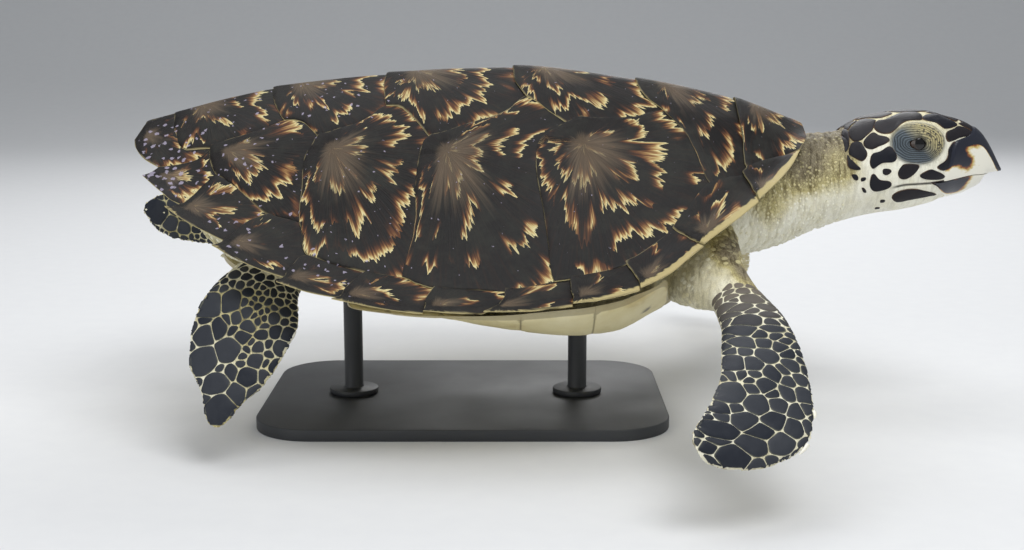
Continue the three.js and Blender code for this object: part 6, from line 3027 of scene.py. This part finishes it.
@dataclass
class Studio:
    """A pale floor, soft lights and the camera; sizes in metres, powers in watts."""

    paper: bpy.types.Material
    floor: float = 40.0
    bend_at: float = 3.0
    bend_radius: float = 3.0
    air: str = "#e6eaee"
    air_level: float = 0.42
    exposure: float = -0.1
    aim: tuple[float, float, float] = (0.05, 0.0, 0.2)
    target: tuple[float, float, float] = (0.05, 0.0, 0.14)
    distance: float = 1.6
    rise: float = 10.0
    lens: float = 52.875
    sensor: float = 36.0

    LIGHTS = [("key", (0.9, -1.5, 2.6), 1.6, 54), ("sky", (-0.6, 0.3, 3.0), 2.6, 48),
              ("fill", (-1.8, -2.6, 0.9), 2.2, 24), ("rim", (0.6, 2.4, 1.8), 1.6, 36)]

    def build(self) -> None:
        """Sets up the floor, the lights, the air and the camera."""
        clear_selection()
        bpy.ops.mesh.primitive_grid_add(x_subdivisions=8, y_subdivisions=240, size=self.floor)
        floor = bpy.context.object
        at = place_of(floor)
        radius = self.bend_radius
        past = np.clip(at[:, 1] - self.bend_at, 0, None)
        bend = np.clip(past / radius, 0, math.pi / 2)
        rest = np.clip(past - radius * math.pi / 2, 0, None)
        at[:, 2] = radius * (1 - np.cos(bend)) + rest
        at[:, 1] = np.where(past > 0, self.bend_at + radius * np.sin(bend), at[:, 1])
        set_place(floor, at)
        bpy.ops.object.shade_smooth()
        floor.name = "studio_floor"
        floor.data.materials.append(self.paper)
        for light in self.LIGHTS:
            self.light(*light)
        world = bpy.data.worlds.new("studio_air")
        world.use_nodes = True
        back = world.node_tree.nodes["Background"]
        back.inputs[0].default_value = colour(self.air)
        back.inputs[1].default_value = self.air_level
        bpy.context.scene.world = world
        bpy.context.scene.view_settings.view_transform = "Standard"
        bpy.context.scene.view_settings.exposure = self.exposure
        self.camera()

    def light(self, name: str, place: Sequence[float], size: float, power: float) -> None:
        """Adds one large soft light that faces the animal.

        Args:
            name: The lamp's name.
            place: Where it hangs.
            size: Its width.
            power: Its power.
        """
        clear_selection()
        bpy.ops.object.light_add(type="AREA", location=place)
        lamp = bpy.context.object
        lamp.name = name
        lamp.data.size = size
        lamp.data.energy = power
        aim = Vector(self.aim) - Vector(place)
        lamp.rotation_euler = aim.to_track_quat("-Z", "Y").to_euler()

    def camera(self) -> None:
        """Places the camera level with the right flank and a little above it."""
        clear_selection()
        target = Vector(self.target)
        rise = math.radians(self.rise)
        place = target + self.distance * Vector((0.0, -math.cos(rise), math.sin(rise)))
        bpy.ops.object.camera_add(location=place)
        camera = bpy.context.object
        camera.name = "main_camera"
        camera.data.lens = self.lens
        camera.data.sensor_width = self.sensor
        camera.data.dof.use_dof = False
        camera.rotation_euler = (target - place).to_track_quat("-Z", "Y").to_euler()
        bpy.context.scene.camera = camera


def main() -> None:
    """Builds every sub-assembly, dresses it and reports each piece."""
    logging.basicConfig(level=logging.INFO, format="%(message)s")
    form = ShellForm()
    fins = {
        "fore_flipper_right": Fin("fore_flipper_right", mirror_stations(FORE), 1.0),
        "fore_flipper_left": Fin("fore_flipper_left", swept_stations(FORE), -1.0),
        "hind_flipper_right": Fin("hind_flipper_right", HIND_RIGHT, -1.0),
        "hind_flipper_left": Fin("hind_flipper_left", HIND_LEFT, 1.0),
        "tail": Fin("tail", TAIL, 1.0),
    }
    pieces = Carapace(form, TortoiseshellHorn().make()).build()
    pieces += BellyShell(form, PlastronHorn().make()).build()
    skin = Skin(form, fins, WrinkledHide().make()).build()
    tree = BVHTree.FromObject(skin, bpy.context.evaluated_depsgraph_get())
    upper = ScaleHorn("flipper_scale_horn", "#181d27", "#34373d", "#8a8b76").make()
    lower = ScaleHorn("pale_scale_horn", "#d5cb9f", "#b9ad84", "#e6dfc0").make()
    head = ScaleHorn("head_shield_horn", "#12151f", "#241f20", "#7d5c38").make()
    small = ScaleHorn("small_scale_horn", "#f2f0df", "#6e6758", "#d6ceaa",
                      middle="#d3c999").make()
    pieces += [skin]
    pieces += FlipperScales(fins, tree, upper, lower).build()
    pieces += [HeadScales(tree, head).build()]
    pieces += [PebbleScales(skin, tree, small).build()]
    beak = BeakHorn().make()
    pieces += Beak(beak).build()
    pieces += Eyes(GlassEye().make()).build()
    pieces += Claws(fins, beak).build()
    pieces += Stand(form, PowderCoatedSteel().make()).build()
    Studio(StudioPaper().make()).build()
    for piece in pieces:
        report(piece)


if __name__ == "__main__":
    main()
